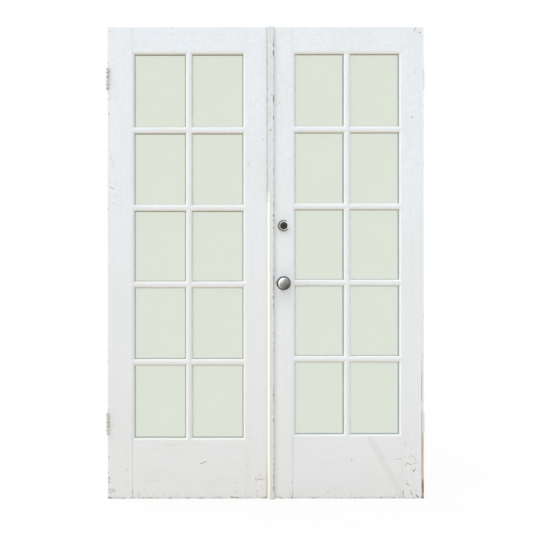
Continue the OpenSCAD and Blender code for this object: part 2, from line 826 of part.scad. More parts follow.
// The tailpiece runs from behind the key plug to the thumbturn's stem
module tailpiece() {
    tail_w = 2;
    tail_h = 6;
    tail_l = leaf_t - cylinder_in - bolt_set;
    color(plated_steel) translate([lock_x - tail_w / 2, -face_y - tail_l, deadbolt_z - tail_h / 2])
        cube([tail_w, tail_l, tail_h]);
}
module thumbturn_rose() {
    taper = 2;
    color(satin_nickel) across(deadbolt_z, 1) difference() {
        cylinder(r1 = collar_r, r2 = collar_r - taper, h = rose_t);
        translate([0, 0, -slack]) cylinder(r = stem_r + run_clear, h = rose_t + 2 * slack);
    }
}
module faceplate_screws() {
    color(plated_steel) for (z = [knob_z, deadbolt_z])
        face_screw_places(z) translate([right_meet_x, 0, 0]) rotate([0, 90, 0]) small_screw();
}
module strike_screws() {
    color(plated_steel) for (z = [knob_z, deadbolt_z])
        face_screw_places(z) translate([left_meet_x, 0, 0]) rotate([0, -90, 0]) small_screw();
}

left_hinge_stile();
left_meeting_stile();
left_top_rail();
left_bottom_rail();
left_upright_bar();
left_cross_bars(0);  // left_cross_bars_1
left_cross_bars(1);  // left_cross_bars_2
left_cross_bars(2);  // left_cross_bars_3
left_cross_bars(3);  // left_cross_bars_4
left_outer_panes();
left_inner_panes();
left_glazing_beads();
astragal();
right_hinge_stile();
right_meeting_stile();
right_top_rail();
right_bottom_rail();
right_upright_bar();
right_cross_bars(0);  // right_cross_bars_1
right_cross_bars(1);  // right_cross_bars_2
right_cross_bars(2);  // right_cross_bars_3
right_cross_bars(3);  // right_cross_bars_4
right_outer_panes();
right_inner_panes();
right_glazing_beads();
right_edge_strip();
left_lower_door_plate();
left_upper_door_plate();
right_lower_door_plate();
right_upper_door_plate();
left_lower_frame_plate();
left_upper_frame_plate();
right_lower_frame_plate();
right_upper_frame_plate();
hinge_pins();
left_hinge_screws();
right_hinge_screws();
knob_front();
knob_back();
spindle();
rose_front();
rose_back();
latch_case();
latch_bolt();
latch_faceplate();
latch_strike();
deadbolt_collar();
lock_cylinder();
key_plug();
deadbolt_case();
deadbolt_bolt();
deadbolt_faceplate();
deadbolt_strike();
thumbturn();
tailpiece();
thumbturn_rose();
faceplate_screws();
strike_screws();
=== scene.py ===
"""A pair of old painted french doors: finish of the woodwork, glass, hinges and locks, on a stage."""

import math
import random

import bpy
from bpy.props import FloatProperty, FloatVectorProperty, IntProperty, PointerProperty
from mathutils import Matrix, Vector


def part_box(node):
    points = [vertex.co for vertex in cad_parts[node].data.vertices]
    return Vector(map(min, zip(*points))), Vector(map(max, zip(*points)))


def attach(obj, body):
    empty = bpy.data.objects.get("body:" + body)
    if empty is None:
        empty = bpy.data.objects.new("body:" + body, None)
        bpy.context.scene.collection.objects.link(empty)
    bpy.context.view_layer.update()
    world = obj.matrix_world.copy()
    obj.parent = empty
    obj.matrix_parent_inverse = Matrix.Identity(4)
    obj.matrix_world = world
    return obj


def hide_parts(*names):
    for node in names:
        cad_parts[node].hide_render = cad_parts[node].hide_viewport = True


bl_info = {
    "name": "French doors",
    "version": (1, 0, 0),
    "blender": (4, 5, 0),
    "location": "View3D > Sidebar > Doors",
    "description": "Paints, ages and glazes a pair of french doors",
    "category": "Object",
}

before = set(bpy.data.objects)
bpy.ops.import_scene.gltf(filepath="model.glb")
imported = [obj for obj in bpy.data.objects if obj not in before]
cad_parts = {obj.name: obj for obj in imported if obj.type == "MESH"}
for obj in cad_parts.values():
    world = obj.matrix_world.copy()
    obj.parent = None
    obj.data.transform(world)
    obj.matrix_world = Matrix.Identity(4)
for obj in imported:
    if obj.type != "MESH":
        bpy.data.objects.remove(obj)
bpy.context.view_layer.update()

# Places that come from the frame
LEFT_LOW, LEFT_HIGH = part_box("left_hinge_stile")
RIGHT_LOW, RIGHT_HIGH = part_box("right_edge_strip")
FRONT_Y, BACK_Y = LEFT_LOW.y, LEFT_HIGH.y
TOP_Z = LEFT_HIGH.z
GLASS_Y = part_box("left_outer_panes")[0].y
ASTRAGAL_LOW, ASTRAGAL_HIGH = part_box("astragal")
# Width of the moulding's lip, which the box of a stile takes in
LIP_W = 0.0095

# Distance at which points merge, and the angles below which faces are one flat, an edge is no arris and
# shading is smooth
WELD = 0.00001
FLAT_ANGLE = math.radians(0.6)
ARRIS_ANGLE = math.radians(40)
SMOOTH_ANGLE = math.radians(35)

SIDES = ("left", "right")
LEVELS = ("lower", "upper")
BAR_LEVELS = (1, 2, 3, 4)
UPRIGHT_MEMBERS = ("hinge_stile", "meeting_stile", "upright_bar")
LEVEL_MEMBERS = ("top_rail", "bottom_rail") + tuple(f"cross_bars_{level}" for level in BAR_LEVELS)
DOOR_OF = {"left": "left_door", "right": "right_door"}

# Heights between which each leaf's paint goes from the colour of its foot to that of its top
PAINT_HEIGHTS = {"left": (-0.08, 1.98), "right": (-0.45, 1.75)}
# Strength of the dirty lines where rails meet the hinge and the meeting stile, each at its foot and top
JOINT_STRENGTHS = {"left": ((0.55, 0.25), (0.12, 0.08)), "right": ((0.16, 0.10), (0.60, 0.15))}
# Heights from where a look has gone to where it is full: dark seam of dirt and painted shadow, stained
# seam, cream bevel of painted highlight, bare strip
DARK_SEAM = (1.26, 1.30)
STAINED_SEAM = (1.35, 1.25)
CREAM_BEVEL = (1.34, 1.28)
BARE_STRIP = (0.44, 0.32)
# Knuckles of a hinge, and the heights between its two levels at which its pattern and its paint change
KNUCKLES = 5
BETWEEN_HINGES = (1.0, 1.1)
HINGE_PAINT = (0.8, 1.4)
# How far the line of a mark wanders, and the width in millimetres from which a mark is a soft band of
# painted cast shadow
WANDER = 0.006
PAINTED_SHADOW_W = 10

# Marks on the leaves' fronts, in millimetres from the middle and the floor: start, end, width, strength
MARKS = {
    "left_bottom_rail": (
        ((-280, 151), (-256, 160), 1.8, 0.75), ((-290, 158), (-282, 154), 1.4, 0.186),
        ((-365, 191), (-361, 196), 1.8, 0.28), ((-443, 233), (-409, 229), 1.6, 0.186),
        ((-409, 229), (-370, 236), 1.6, 0.155), ((-525, 45), (-506, 10), 1.3, 0.186),
        ((-553, 28), (-546, 12), 1.8, 0.186), ((-441, 23), (-438, 10), 1.8, 0.186),
        ((-387, 21), (-381, 13), 1.8, 0.28), ((-133, 66), (-123, 71), 1.6, 0.28),
        ((-129, 32), (-126, 29), 1.8, 0.28), ((-208, 6), (-199, 9), 2.4, 0.6),
        ((-148, 7), (-135, 5), 2.8, 0.7), ((-128, 4), (-113, 3), 2.6, 0.65),
        ((-501, 3), (-490, 2), 2.4, 0.6), ((-473, 2), (-462, 1), 2.4, 0.5),
        ((-342, 3), (-331, 2), 2.4, 0.6), ((-286, 2), (-271, 3), 2.4, 0.6),
        ((-417, 3), (-409, 2), 2.2, 0.5), ((-255, 2), (-249, 2), 2.2, 0.5),
        ((-536, 2), (-527, 2), 2.2, 0.5), ((-490, 120), (-421, 122), 1.6, 0.062),
        ((-516, 97), (-387, 99), 1.6, 0.062), ((-551, 73), (-456, 75), 1.6, 0.062),
    ),
    "left_meeting_stile": (
        ((-33, 117), (-32, 116), 2.4, 0.7), ((-45, 91), (-42, 78), 2.4, 0.32),
        ((-33, 85), (-14, 82), 2.6, 0.32), ((-27, 105), (-18, 98), 1.8, 0.32),
        ((-16, 94), (-3, 80), 1.8, 0.186), ((-36, 31), (-35, 31), 2.2, 0.55),
        ((-37, 15), (-36, 13), 2.2, 0.55), ((-11, 4), (0, 5), 3.2, 0.8),
        ((-76, 262), (-58, 246), 1.4, 0.186), ((-80, 179), (-70, 168), 2.2, 0.124),
        ((-83, 153), (-77, 144), 2, 0.155), ((-18, 53), (-5, 28), 2, 0.124),
        ((-64, 1703), (-61, 1700), 2.4, 0.32), ((-52, 1615), (-39, 1608), 1.8, 0.136),
        ((-13, 1551), (-10, 1549), 2.4, 0.36), ((-72, 1521), (-64, 1515), 1.8, 0.124),
        ((-77, 1451), (-76, 1433), 2.2, 0.186), ((-22, 1465), (-13, 1453), 2, 0.124),
        ((-14, 1028), (-12, 993), 1.6, 0.0744), ((-48, 1957), (-42, 1948), 1.8, 0.136),
    ),
    "left_hinge_stile": (
        ((-669, 1476), (-657, 1442), 3.2, 0.124), ((-664, 1442), (-652, 1425), 2.6, 0.136),
        ((-671, 1344), (-657, 1337), 2.8, 0.32), ((-656, 1310), (-643, 1297), 2.6, 0.136),
        ((-663, 1278), (-647, 1269), 2.4, 0.124), ((-673, 1373), (-667, 1356), 2.2, 0.155),
        ((-676, 38), (-656, 41), 2, 0.5), ((-675, 26), (-650, 34), 1.8, 0.36),
        ((-670, 45), (-666, 19), 1.6, 0.28), ((-659, 42), (-648, 26), 1.6, 0.186),
        ((-678, 3), (-665, 3), 4, 0.85), ((-675, 90), (-674, 85), 3, 0.7),
        ((-676, 73), (-675, 70), 3, 0.7), ((-676, 184), (-675, 181), 2.6, 0.5),
        ((-628, 183), (-626, 181), 2.2, 0.32), ((-597, 126), (-595, 123), 2.2, 0.32),
        ((-656, 319), (-654, 317), 2.2, 0.32), ((-633, 3), (-627, 2), 2.4, 0.55),
        ((-610, 3), (-607, 2), 2.2, 0.5), ((-581, 3), (-575, 3), 2.6, 0.7),
        ((-598, 62), (-592, 52), 1.4, 0.124), ((-574, 2024), (-572, 2011), 2, 0.36),
        ((-673, 1858), (-671, 1840), 2.4, 0.28), ((-676, 2017), (-667, 2014), 2, 0.186),
        ((-677, 1727), (-675, 1723), 2.2, 0.32), ((-676, 1662), (-675, 1656), 2.2, 0.28),
        ((-677, 1511), (-676, 1502), 2.2, 0.186),
    ),
    "left_top_rail": (
        ((-403, 2009), (-397, 1996), 2, 0.174), ((-340, 2018), (-327, 2015), 1.6, 0.112),
        ((-578, 2023), (-570, 2021), 2, 0.28), ((-207, 1977), (-197, 1982), 1.8, 0.124),
        ((-410, 2028), (-396, 2026), 1.8, 0.155), ((-499, 1966), (-495, 1964), 1.8, 0.124),
    ),
    "right_hinge_stile": (
        ((613, 175), (629, 187), 1.7, 0.336), ((629, 187), (649, 169), 1.7, 0.336),
        ((599, 141), (610, 152), 2.4, 0.336), ((610, 152), (629, 145), 2.8, 0.304),
        ((638, 149), (657, 155), 2, 0.304), ((630, 123), (632, 121), 2.2, 0.5),
        ((637, 116), (644, 129), 2.4, 0.7), ((660, 118), (663, 116), 2.2, 0.32),
        ((606, 67), (615, 58), 2.4, 0.55), ((604, 78), (609, 72), 1.8, 0.28),
        ((600, 243), (606, 225), 1.6, 0.186), ((624, 33), (629, 16), 2.6, 0.7),
        ((647, 15), (657, 7), 3, 0.75), ((593, 32), (593, 6), 2.2, 0.5),
        ((646, 38), (649, 35), 2.2, 0.32),
        ((669, 7), (674, 6), 2.4, 0.5), ((622, 209), (639, 229), 1.4, 0.093),
        ((633, 252), (652, 278), 1.4, 0.0868), ((648, 2031), (640, 2017), 2, 0.6),
        ((663, 2011), (666, 2008), 2.6, 0.7), ((670, 1990), (672, 1988), 2.2, 0.28),
        ((639, 1833), (650, 1846), 2, 0.186), ((630, 1645), (633, 1643), 2.6, 0.5),
    ),
    "right_bottom_rail": (
        ((553, 169), (591, 172), 1.5, 0.36), ((368, 167), (370, 165), 2.6, 0.5),
        ((244, 150), (246, 148), 2.2, 0.32), ((168, 34), (171, 31), 2.4, 0.28),
        ((418, 39), (421, 36), 2.2, 0.28), ((270, 28), (274, 26), 2.2, 0.32),
        ((284, 25), (287, 23), 2.2, 0.28), ((261, 37), (273, 16), 1.5, 0.155),
        ((243, 11), (260, 22), 1.6, 0.155), ((369, 19), (372, 17), 2, 0.32),
        ((562, 263), (583, 255), 1.6, 0.124), ((381, 166), (389, 167), 1.6, 0.124),
        ((202, 3), (212, 2), 2.4, 0.5), ((323, 2), (329, 2), 2.2, 0.32),
        ((383, 3), (387, 2), 2.2, 0.5), ((419, 3), (425, 3), 2.2, 0.36),
        ((494, 3), (500, 3), 2.8, 0.7), ((549, 3), (558, 3), 2.6, 0.7),
        # A soft diagonal band of painted cast shadow across the rail
        ((450, 262), (588, 6), 20, 0.075),
    ),
    "right_meeting_stile": (
        ((66, 895), (79, 893), 2.8, 0.174), ((73, 888), (87, 891), 2.2, 0.136),
        ((112, 73), (114, 71), 2.4, 0.6), ((95, 130), (97, 128), 2.2, 0.155),
        ((102, 32), (112, 10), 1.5, 0.28), ((117, 105), (118, 97), 2.2, 0.5),
        ((50, 560), (61, 538), 1.6, 0.112), ((46, 1696), (60, 1706), 2.8, 0.0992),
        ((97, 1470), (106, 1451), 2, 0.112), ((59, 3), (79, 2), 2.6, 0.36),
        ((106, 3), (118, 2), 2.6, 0.6), ((69, 404), (74, 381), 1.5, 0.0744),
    ),
}

# Heights of the astragal's large chips above the floor and their lengths, in millimetres
ARRIS_CHIPS = (
    (1950, 14), (1917, 20), (1721, 30), (1640, 8), (1412, 12), (1222, 16), (1200, 10), (1172, 8),
    (945, 34), (915, 26), (868, 10), (832, 12), (640, 8), (450, 10), (341, 14), (153, 12), (93, 12),
    (49, 14),
)
# Marks on the astragal's front, in millimetres as above
ASTRAGAL_MARKS = (
    ((20, 1589), (23, 1586), 2.6, 0.8), ((21, 1742), (24, 1738), 2.2, 0.6),
    ((17, 1664), (20, 1650), 1.8, 0.35), ((12, 1288), (14, 1284), 2.2, 0.6),
    ((8, 1336), (7, 1300), 2.0, 0.75), ((20, 1903), (21, 1896), 1.8, 0.35),
    ((14, 2026), (18, 2016), 2.4, 0.35),
)
# Easing of the hinge plates, the hinge pins, and the face plates and strikes
PLATE_ARRIS, PIN_ARRIS, STRIKE_ARRIS = 0.0006, 0.0005, 0.0003
# Seeds of the random chips and nicks, and the most by which each leans about X, Y and Z
ASTRAGAL_SEED, STRIP_SEED = 5, 11
NICK_TILT = (0.1, 0.06, 0.5)
# Range of a large chip's depth in full depths, and ranges of a small one's depth, length and place
CHIP_SPREAD = (0.8, 1.3)
CHIP_SHARE, CHIP_LENGTH = (0.3, 0.6), (0.002, 0.009)
CHIP_INSET, CHIP_RISE, CHIP_MARGIN = (0.0, 0.0008), (0.0, 0.003), 0.01
# Nicks along the edge strip's corner: how many, and ranges of height, length and depth
STRIP_NICKS = (
    (16, (0.005, 0.30), (0.006, 0.022), (0.0006, 0.002)),
    (14, (0.3, TOP_Z), (0.003, 0.008), (0.0004, 0.0012)),
)
# Putty lines round the lights, toned as putty and as the painted shadow of the mouldings on the glass:
# width in millimetres and number of the tone, by column and by row
PUTTY = {
    "left": {
        "left": ((3.8, 1), (5.0, 2)), "right": ((4.3, 1), (4.4, 1)),
        "top": ((5.3, 0), (4.5, 0), (3.9, 0), (2.6, 1), (2.2, 1)),
        "foot": ((2.6, 2), (2.4, 2), (2.6, 1), (3.6, 1), (5.2, 1)),
    },
    "right": {
        "left": ((4.2, 2), (3.4, 4)), "right": ((6.4, 3), (6.1, 3)),
        "top": ((4.2, 0), (3.6, 0), (3.2, 0), (2.4, 1), (2.2, 1)),
        "foot": ((2.8, 2), (2.4, 2), (2.2, 3), (2.6, 3), (5.2, 3)),
    },
}
EDGES = ("left", "right", "top", "foot")

# The stage's colours, and the way from the doors to the key light: left, front and above
WHITE, BLACK = (1.0, 1.0, 1.0), (0.0, 0.0, 0.0)
SKY_COLOUR = (0.985, 0.992, 1.0)
KEY_WAY = Vector((-0.75, -0.47, 0.49)).normalized()
UP = Vector((0.0, 0.0, 1.0))


def selected_only(piece):
    """Makes a piece the one object that is selected and active."""
    bpy.ops.object.select_all(action="DESELECT")
    piece.select_set(True)
    bpy.context.view_layer.objects.active = piece


def painted(piece, material):
    """Gives a piece one finish all over."""
    piece.data.materials.clear()
    piece.data.materials.append(material)


def joined(pieces):
    """Joins pieces into the first of them."""
    bpy.ops.object.select_all(action="DESELECT")
    for piece in pieces:
        piece.select_set(True)
    bpy.context.view_layer.objects.active = pieces[0]
    bpy.ops.object.join()
    return bpy.context.object


def settle(piece, material, body, replaced=()):
    """Ends a piece: its place goes into its mesh, and it gets its finish and its body."""
    selected_only(piece)
    bpy.ops.object.transform_apply(location=True, rotation=True, scale=True)
    if material is not None:
        painted(piece, material)
    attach(piece, body)
    if replaced:
        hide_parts(*replaced)


def modified(piece, kind, **settings):
    """Adds a modifier with those settings and applies it."""
    selected_only(piece)
    modifier = piece.modifiers.new(kind.title(), kind)
    for key, value in settings.items():
        setattr(modifier, key, value)
    bpy.ops.object.modifier_apply(modifier=modifier.name)


def shaded(piece):
    """Smooth shading over round stretches, with the flats kept flat."""
    selected_only(piece)
    bpy.ops.object.shade_smooth_by_angle(angle=SMOOTH_ANGLE)
    modified(piece, "WEIGHTED_NORMAL", keep_sharp=True)
    return piece


def merged_copy(node):
    """A copy of a CAD node whose loose triangles are merged into clean faces."""
    piece = bpy.data.objects.new(f"{node}_finished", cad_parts[node].data.copy())
    bpy.context.scene.collection.objects.link(piece)
    selected_only(piece)
    bpy.ops.mesh.customdata_custom_splitnormals_clear()
    bpy.ops.object.mode_set(mode="EDIT")
    bpy.ops.mesh.select_all(action="SELECT")
    bpy.ops.mesh.remove_doubles(threshold=WELD)
    bpy.ops.mesh.dissolve_limited(angle_limit=FLAT_ANGLE)
    bpy.ops.object.mode_set(mode="OBJECT")
    return piece


def eased_copy(node, width):
    """A merged copy of a CAD node with its sharp arrises eased by that width."""
    piece = merged_copy(node)
    modified(piece, "BEVEL", width=width, segments=2, limit_method="ANGLE", angle_limit=ARRIS_ANGLE,
             use_clamp_overlap=True)
    return shaded(piece)


def round_place(node, face):
    """Centre of a round node, on that face of the leaf, and its radius."""
    low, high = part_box(node)
    return ((low.x + high.x) / 2, face, (low.z + high.z) / 2), (high.x - low.x) / 2


def turned(name, centre, way, rings, sides, ring_shaped=False):
    """A piece turned about a line along Y: each ring is a radius and a distance from the centre."""
    radius, distance = rings[0]
    bpy.ops.object.select_all(action="DESELECT")
    bpy.ops.mesh.primitive_circle_add(
        vertices=sides, radius=radius, fill_type="NOTHING" if ring_shaped else "NGON",
        location=(centre[0], centre[1] + way * distance, centre[2]), rotation=(math.pi / 2, 0, 0))
    piece = bpy.context.object
    piece.name = name
    bpy.ops.object.transform_apply(location=True, rotation=True)
    bpy.ops.object.mode_set(mode="EDIT")
    bpy.ops.mesh.select_mode(type="EDGE" if ring_shaped else "FACE")
    bpy.ops.mesh.select_all(action="SELECT")
    for next_radius, next_distance in rings[1:]:
        bpy.ops.mesh.extrude_region_move(
            TRANSFORM_OT_translate={"value": (0, way * (next_distance - distance), 0)})
        growth = next_radius / radius
        bpy.ops.transform.resize(
            value=(growth, 1, growth),
            center_override=(centre[0], centre[1] + way * next_distance, centre[2]))
        radius, distance = next_radius, next_distance
    bpy.ops.mesh.select_all(action="SELECT")
    bpy.ops.mesh.remove_doubles(threshold=WELD)
    bpy.ops.mesh.normals_make_consistent(inside=False)
    bpy.ops.object.mode_set(mode="OBJECT")
    return piece


def arc(centre_r, centre_d, radius, start, end, steps):
    """Rings along an arc, with angles in degrees from outwards to forwards."""
    angles = [math.radians(start + (end - start) * step / steps) for step in range(steps + 1)]
    return [(centre_r + radius * math.cos(a), centre_d + radius * math.sin(a)) for a in angles]


class Number:
    """A value that changes over a surface, on which plain arithmetic adds the Math nodes."""

    def __init__(self, nodes, socket):
        self.nodes = nodes
        self.socket = socket

    def math(self, operation, *values):
        return self.nodes.number("ShaderNodeMath", {"operation": operation}, dict(enumerate(values)))

    def __add__(self, other):
        return self.math("ADD", self, other)

    def __sub__(self, other):
        return self.math("SUBTRACT", self, other)

    def __rsub__(self, other):
        return self.math("SUBTRACT", other, self)

    def __mul__(self, other):
        return self.math("MULTIPLY", self, other)

    def __neg__(self):
        return self.math("MULTIPLY", self, -1.0)

    __radd__ = __add__
    __rmul__ = __mul__

    def size(self):
        return self.math("ABSOLUTE", self)

    def larger(self, other):
        return self.math("MAXIMUM", self, other)

    def smaller(self, other):
        return self.math("MINIMUM", self, other)

    def rise(self, low, high):
        """Goes smoothly from 0 at low to 1 at high, or down if low is the larger."""
        return self.nodes.number("ShaderNodeMapRange", {"interpolation_type": "SMOOTHSTEP"},
                                 {0: self, 1: low, 2: high, 3: 0.0, 4: 1.0})


class Nodes:
    """A node tree in the making, with one way to add its nodes."""

    def __init__(self, tree):
        self.tree = tree
        tree.nodes.clear()

    def node(self, kind, settings=None, values=None):
        """Adds a node: its settings first, then the values or links of its sockets."""
        made = self.tree.nodes.new(kind)
        for key, value in (settings or {}).items():
            setattr(made, key, value)
        for key, value in (values or {}).items():
            self.feed(made.inputs[key], value)
        return made

    def number(self, kind, settings=None, values=None, output=0):
        return Number(self, self.node(kind, settings, values).outputs[output])

    def vector(self, operation, *values):
        """Adds a Vector Math node that gives a vector."""
        settings = {"operation": operation}
        return self.node("ShaderNodeVectorMath", settings, dict(enumerate(values))).outputs["Vector"]

    def measure(self, operation, *values):
        """Adds a Vector Math node that gives a number."""
        settings = {"operation": operation}
        return self.number("ShaderNodeVectorMath", settings, dict(enumerate(values)), "Value")

    def longer(self, vector, amount):
        """A vector made that many times as long, by one number for all its axes."""
        values = {0: vector, "Scale": amount}
        return self.node("ShaderNodeVectorMath", {"operation": "SCALE"}, values).outputs["Vector"]

    def mixed(self, amount, under, over):
        """A colour that goes from under to over as amount goes from 0 to 1."""
        values = {0: amount, 6: under, 7: over}
        return self.node("ShaderNodeMix", {"data_type": "RGBA"}, values).outputs[2]

    def feed(self, socket, value):
        source = value.socket if isinstance(value, Number) else value
        if isinstance(source, bpy.types.NodeSocket):
            self.tree.links.new(source, socket)
        elif hasattr(source, "__len__") and socket.type == "RGBA" and len(source) == 3:
            socket.default_value = (*source, 1.0)
        else:
            socket.default_value = source

    def seen_directly(self):
        """1 for rays from the camera, from gloss and through glass."""
        rays = self.node("ShaderNodeLightPath").outputs
        camera, gloss, glass = (Number(self, rays[f"Is {kind} Ray"])
                                for kind in ("Camera", "Glossy", "Transmission"))
        return camera.larger(gloss).larger(glass)


class Finish(Nodes):
    """A material in the making, with the patterns that it is painted from."""

    def __init__(self, name):
        self.material = bpy.data.materials.new(name)
        self.material.use_nodes = True
        super().__init__(self.material.node_tree)
        self.shader = self.node("ShaderNodeBsdfPrincipled")
        self.node("ShaderNodeOutputMaterial", {}, {0: self.shader.outputs[0]})
        self.place = self.node("ShaderNodeTexCoord").outputs["Object"]
        parts = self.node("ShaderNodeSeparateXYZ", {}, {0: self.place})
        self.x, self.y, self.z = (Number(self, socket) for socket in parts.outputs)

    def scaled(self, stretch):
        """The place on the object, stretched by one number or by one for each axis."""
        if not hasattr(stretch, "__len__"):
            stretch = (stretch,) * 3
        return self.vector("MULTIPLY", self.place, stretch)

    def noise(self, stretch, detail=2.0, roughness=0.5):
        """Noise from 0 to 1 with that many features a metre."""
        return self.number("ShaderNodeTexNoise", {}, {
            "Vector": self.scaled(stretch), "Scale": 1.0, "Detail": detail, "Roughness": roughness})

    def cells(self, stretch):
        """Distance to the nearest of scattered points, and that point's own random value."""
        made = self.node("ShaderNodeTexVoronoi", {}, {"Vector": self.scaled(stretch), "Scale": 1.0})
        tint = self.node("ShaderNodeSeparateColor", {}, {0: made.outputs["Color"]})
        return Number(self, made.outputs["Distance"]), Number(self, tint.outputs[0])

    def facing(self, axis):
        """How far the surface faces along X, Y or Z, from -1 to 1."""
        normal = self.node("ShaderNodeNewGeometry").outputs["Normal"]
        return Number(self, self.node("ShaderNodeSeparateXYZ", {}, {0: normal}).outputs[axis])

    def hollow(self, reach):
        """How shut in a place is, from 0 in the open to 1 in a crevice."""
        return 1 - self.number("ShaderNodeAmbientOcclusion", {"samples": 6}, {"Distance": reach}, 1)

    def around(self, centre, radius):
        """How far right and up of a centre a place is, and its distance from it, in radii."""
        right = (self.x - centre[0]) * (1 / radius)
        up = (self.z - centre[2]) * (1 / radius)
        away = self.measure("DISTANCE", self.scaled((1.0, 0.0, 1.0)), (centre[0], 0.0, centre[2]))
        return right, up, away * (1 / radius)

    def upright_line(self, at, half, low=-1.0, high=9.0):
        """A thin upright line at that x, between two heights."""
        line = (self.x - at).size().rise(half, half * 0.35)
        return line * self.z.rise(low - 0.004, low) * self.z.rise(high + 0.004, high)

    def stroke(self, start, end, width):
        """A mark along a line on the front, in millimetres: 1 on it and 0 beside it."""
        run = ((end[0] - start[0]) / 1000, 0.0, (end[1] - start[1]) / 1000)
        run_length = math.hypot(*run)
        flat = self.scaled((1.0, 0.0, 1.0))
        values = {"Vector": self.place, "Scale": 120.0, "Detail": 1.0}
        wobble = self.node("ShaderNodeTexNoise", {}, values).outputs["Color"]
        moved = self.vector("ADD", flat, self.longer(wobble, WANDER))
        middle = WANDER / 2
        foot = (start[0] / 1000 + middle, middle, start[1] / 1000 + middle)
        off = self.vector("SUBTRACT", moved, foot)
        along = self.measure("DOT_PRODUCT", off, tuple(v / run_length ** 2 for v in run))
        nearest = self.longer(run, along.larger(0.0).smaller(1.0))
        away = self.measure("LENGTH", self.vector("SUBTRACT", off, nearest))
        return away.rise(width / 1000, width / 2500)

    def surface(self, colour, roughness, bump=None, bump_height=0.0003, metallic=0.0, **more):
        """Links the finished colour, roughness and relief to the shader."""
        self.feed(self.shader.inputs["Base Color"], colour)
        self.feed(self.shader.inputs["Roughness"], roughness)
        self.feed(self.shader.inputs["Metallic"], metallic)
        for key, value in more.items():
            self.feed(self.shader.inputs[key.replace("_", " ")], value)
        if bump is not None:
            values = {"Strength": 1.0, "Distance": bump_height, "Height": bump}
            self.feed(self.shader.inputs["Normal"], self.node("ShaderNodeBump", {}, values).outputs[0])
        return self.material


def joint_lines(side):
    """Where the rails meet the stiles on a leaf's face, each with its strengths at foot and top."""
    hinge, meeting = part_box(f"{side}_hinge_stile"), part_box(f"{side}_meeting_stile")
    places = ((hinge[1].x - LIP_W, meeting[0].x + LIP_W) if side == "left" else
              (hinge[0].x + LIP_W, meeting[1].x - LIP_W))
    return zip(places, JOINT_STRENGTHS[side])


def aged_paint(f, side, streaks, mottle, patches):
    """The paint's tones: cool and yellowed patches, painted warm bounce light on the undersides and
    painted highlights on the mouldings.
    """
    look = bpy.context.scene.doors_paint
    clean = f.mixed(f.z.rise(*PAINT_HEIGHTS[side]), look.low_colour, look.high_colour)
    tone = f.mixed(mottle.rise(0.35, 0.70) * 0.42, clean, look.cool_colour)
    tone = f.mixed(patches.rise(0.45, 0.75) * 0.30, tone, look.aged_colour)
    tone = f.mixed(streaks.rise(0.48, 0.72) * 0.06, tone, look.grime_colour)
    # Painted warm bounce light: downward faces turn cream, as light from the floor would make them
    tone = f.mixed(f.facing(2).rise(-0.25, -0.60) * 0.9, tone, look.underside_bounce_colour)
    inside = f.y.rise(FRONT_Y + 0.0004, FRONT_Y + 0.0016)
    # Painted highlight: upward and leftward faces of the mouldings lightened as the key light from the
    # upper left would light them, rightward faces a little
    painted_highlight = (f.facing(2).rise(0.30, 0.65) * 0.8).larger(f.facing(0).rise(-0.15, -0.50))
    painted_highlight = painted_highlight.larger(f.facing(0).rise(0.15, 0.50) * 0.4) * inside
    if side == "right":
        # Painted light beside the astragal on the right leaf, which lifts the astragal's cast shadow
        beside = f.x.rise(ASTRAGAL_HIGH.x + 0.075, ASTRAGAL_HIGH.x + 0.01)
        painted_highlight = painted_highlight.larger(beside * 0.35)
    return f.mixed(painted_highlight * 0.9, tone, look.moulding_highlight_colour)


def broken_dirt(f):
    """The gaps in the dirt of a joint, from 0 to 1."""
    return f.noise((90.0, 90.0, 70.0), 3.0, 0.6).rise(0.36, 0.60)


def leaf_dirt(f, tone, side, front):
    """Dirt and painted shade in a leaf's mouldings, dirt on its splashed foot and in the joints of its
    rails and stiles.
    """
    look = bpy.context.scene.doors_paint
    # Darker where a place is shut in: dirt together with painted shade in the creases of the mouldings
    crevice = f.hollow(look.crevice_reach).rise(0.40, 0.95) * look.crevice
    tone = f.mixed(crevice, tone, look.crevice_dirt_and_shade_colour)
    blot = f.noise((230.0, 230.0, 190.0), 4.0, 0.7)
    foot = f.z.rise(0.010, 0.004) * blot.rise(0.53, 0.60)
    splash = f.z.rise(0.034, 0.006) * f.noise(160.0, 3.0, 0.7).rise(0.61, 0.67)
    tone = f.mixed(foot.larger(splash * 0.6) * front, tone, look.scuff_colour)
    haze = f.z.rise(0.20, 0.02) * f.noise(11.0, 4.0, 0.65).rise(0.48, 0.75)
    tone = f.mixed(haze * front * 0.14, tone, look.haze_colour)
    dirty = (0.35 + 0.65 * broken_dirt(f)) * front
    for at, (low_strength, high_strength) in joint_lines(side):
        lines = f.upright_line(at, 0.0015, 0.0, 0.27) * low_strength
        lines = lines.larger(f.upright_line(at, 0.0021, 0.0, 0.035) * min(1.0, low_strength * 2.2))
        lines = lines.larger(f.upright_line(at, 0.0011, 1.90, TOP_Z) * high_strength)
        tone = f.mixed(lines * dirty, tone, look.joint_colour)
    return tone


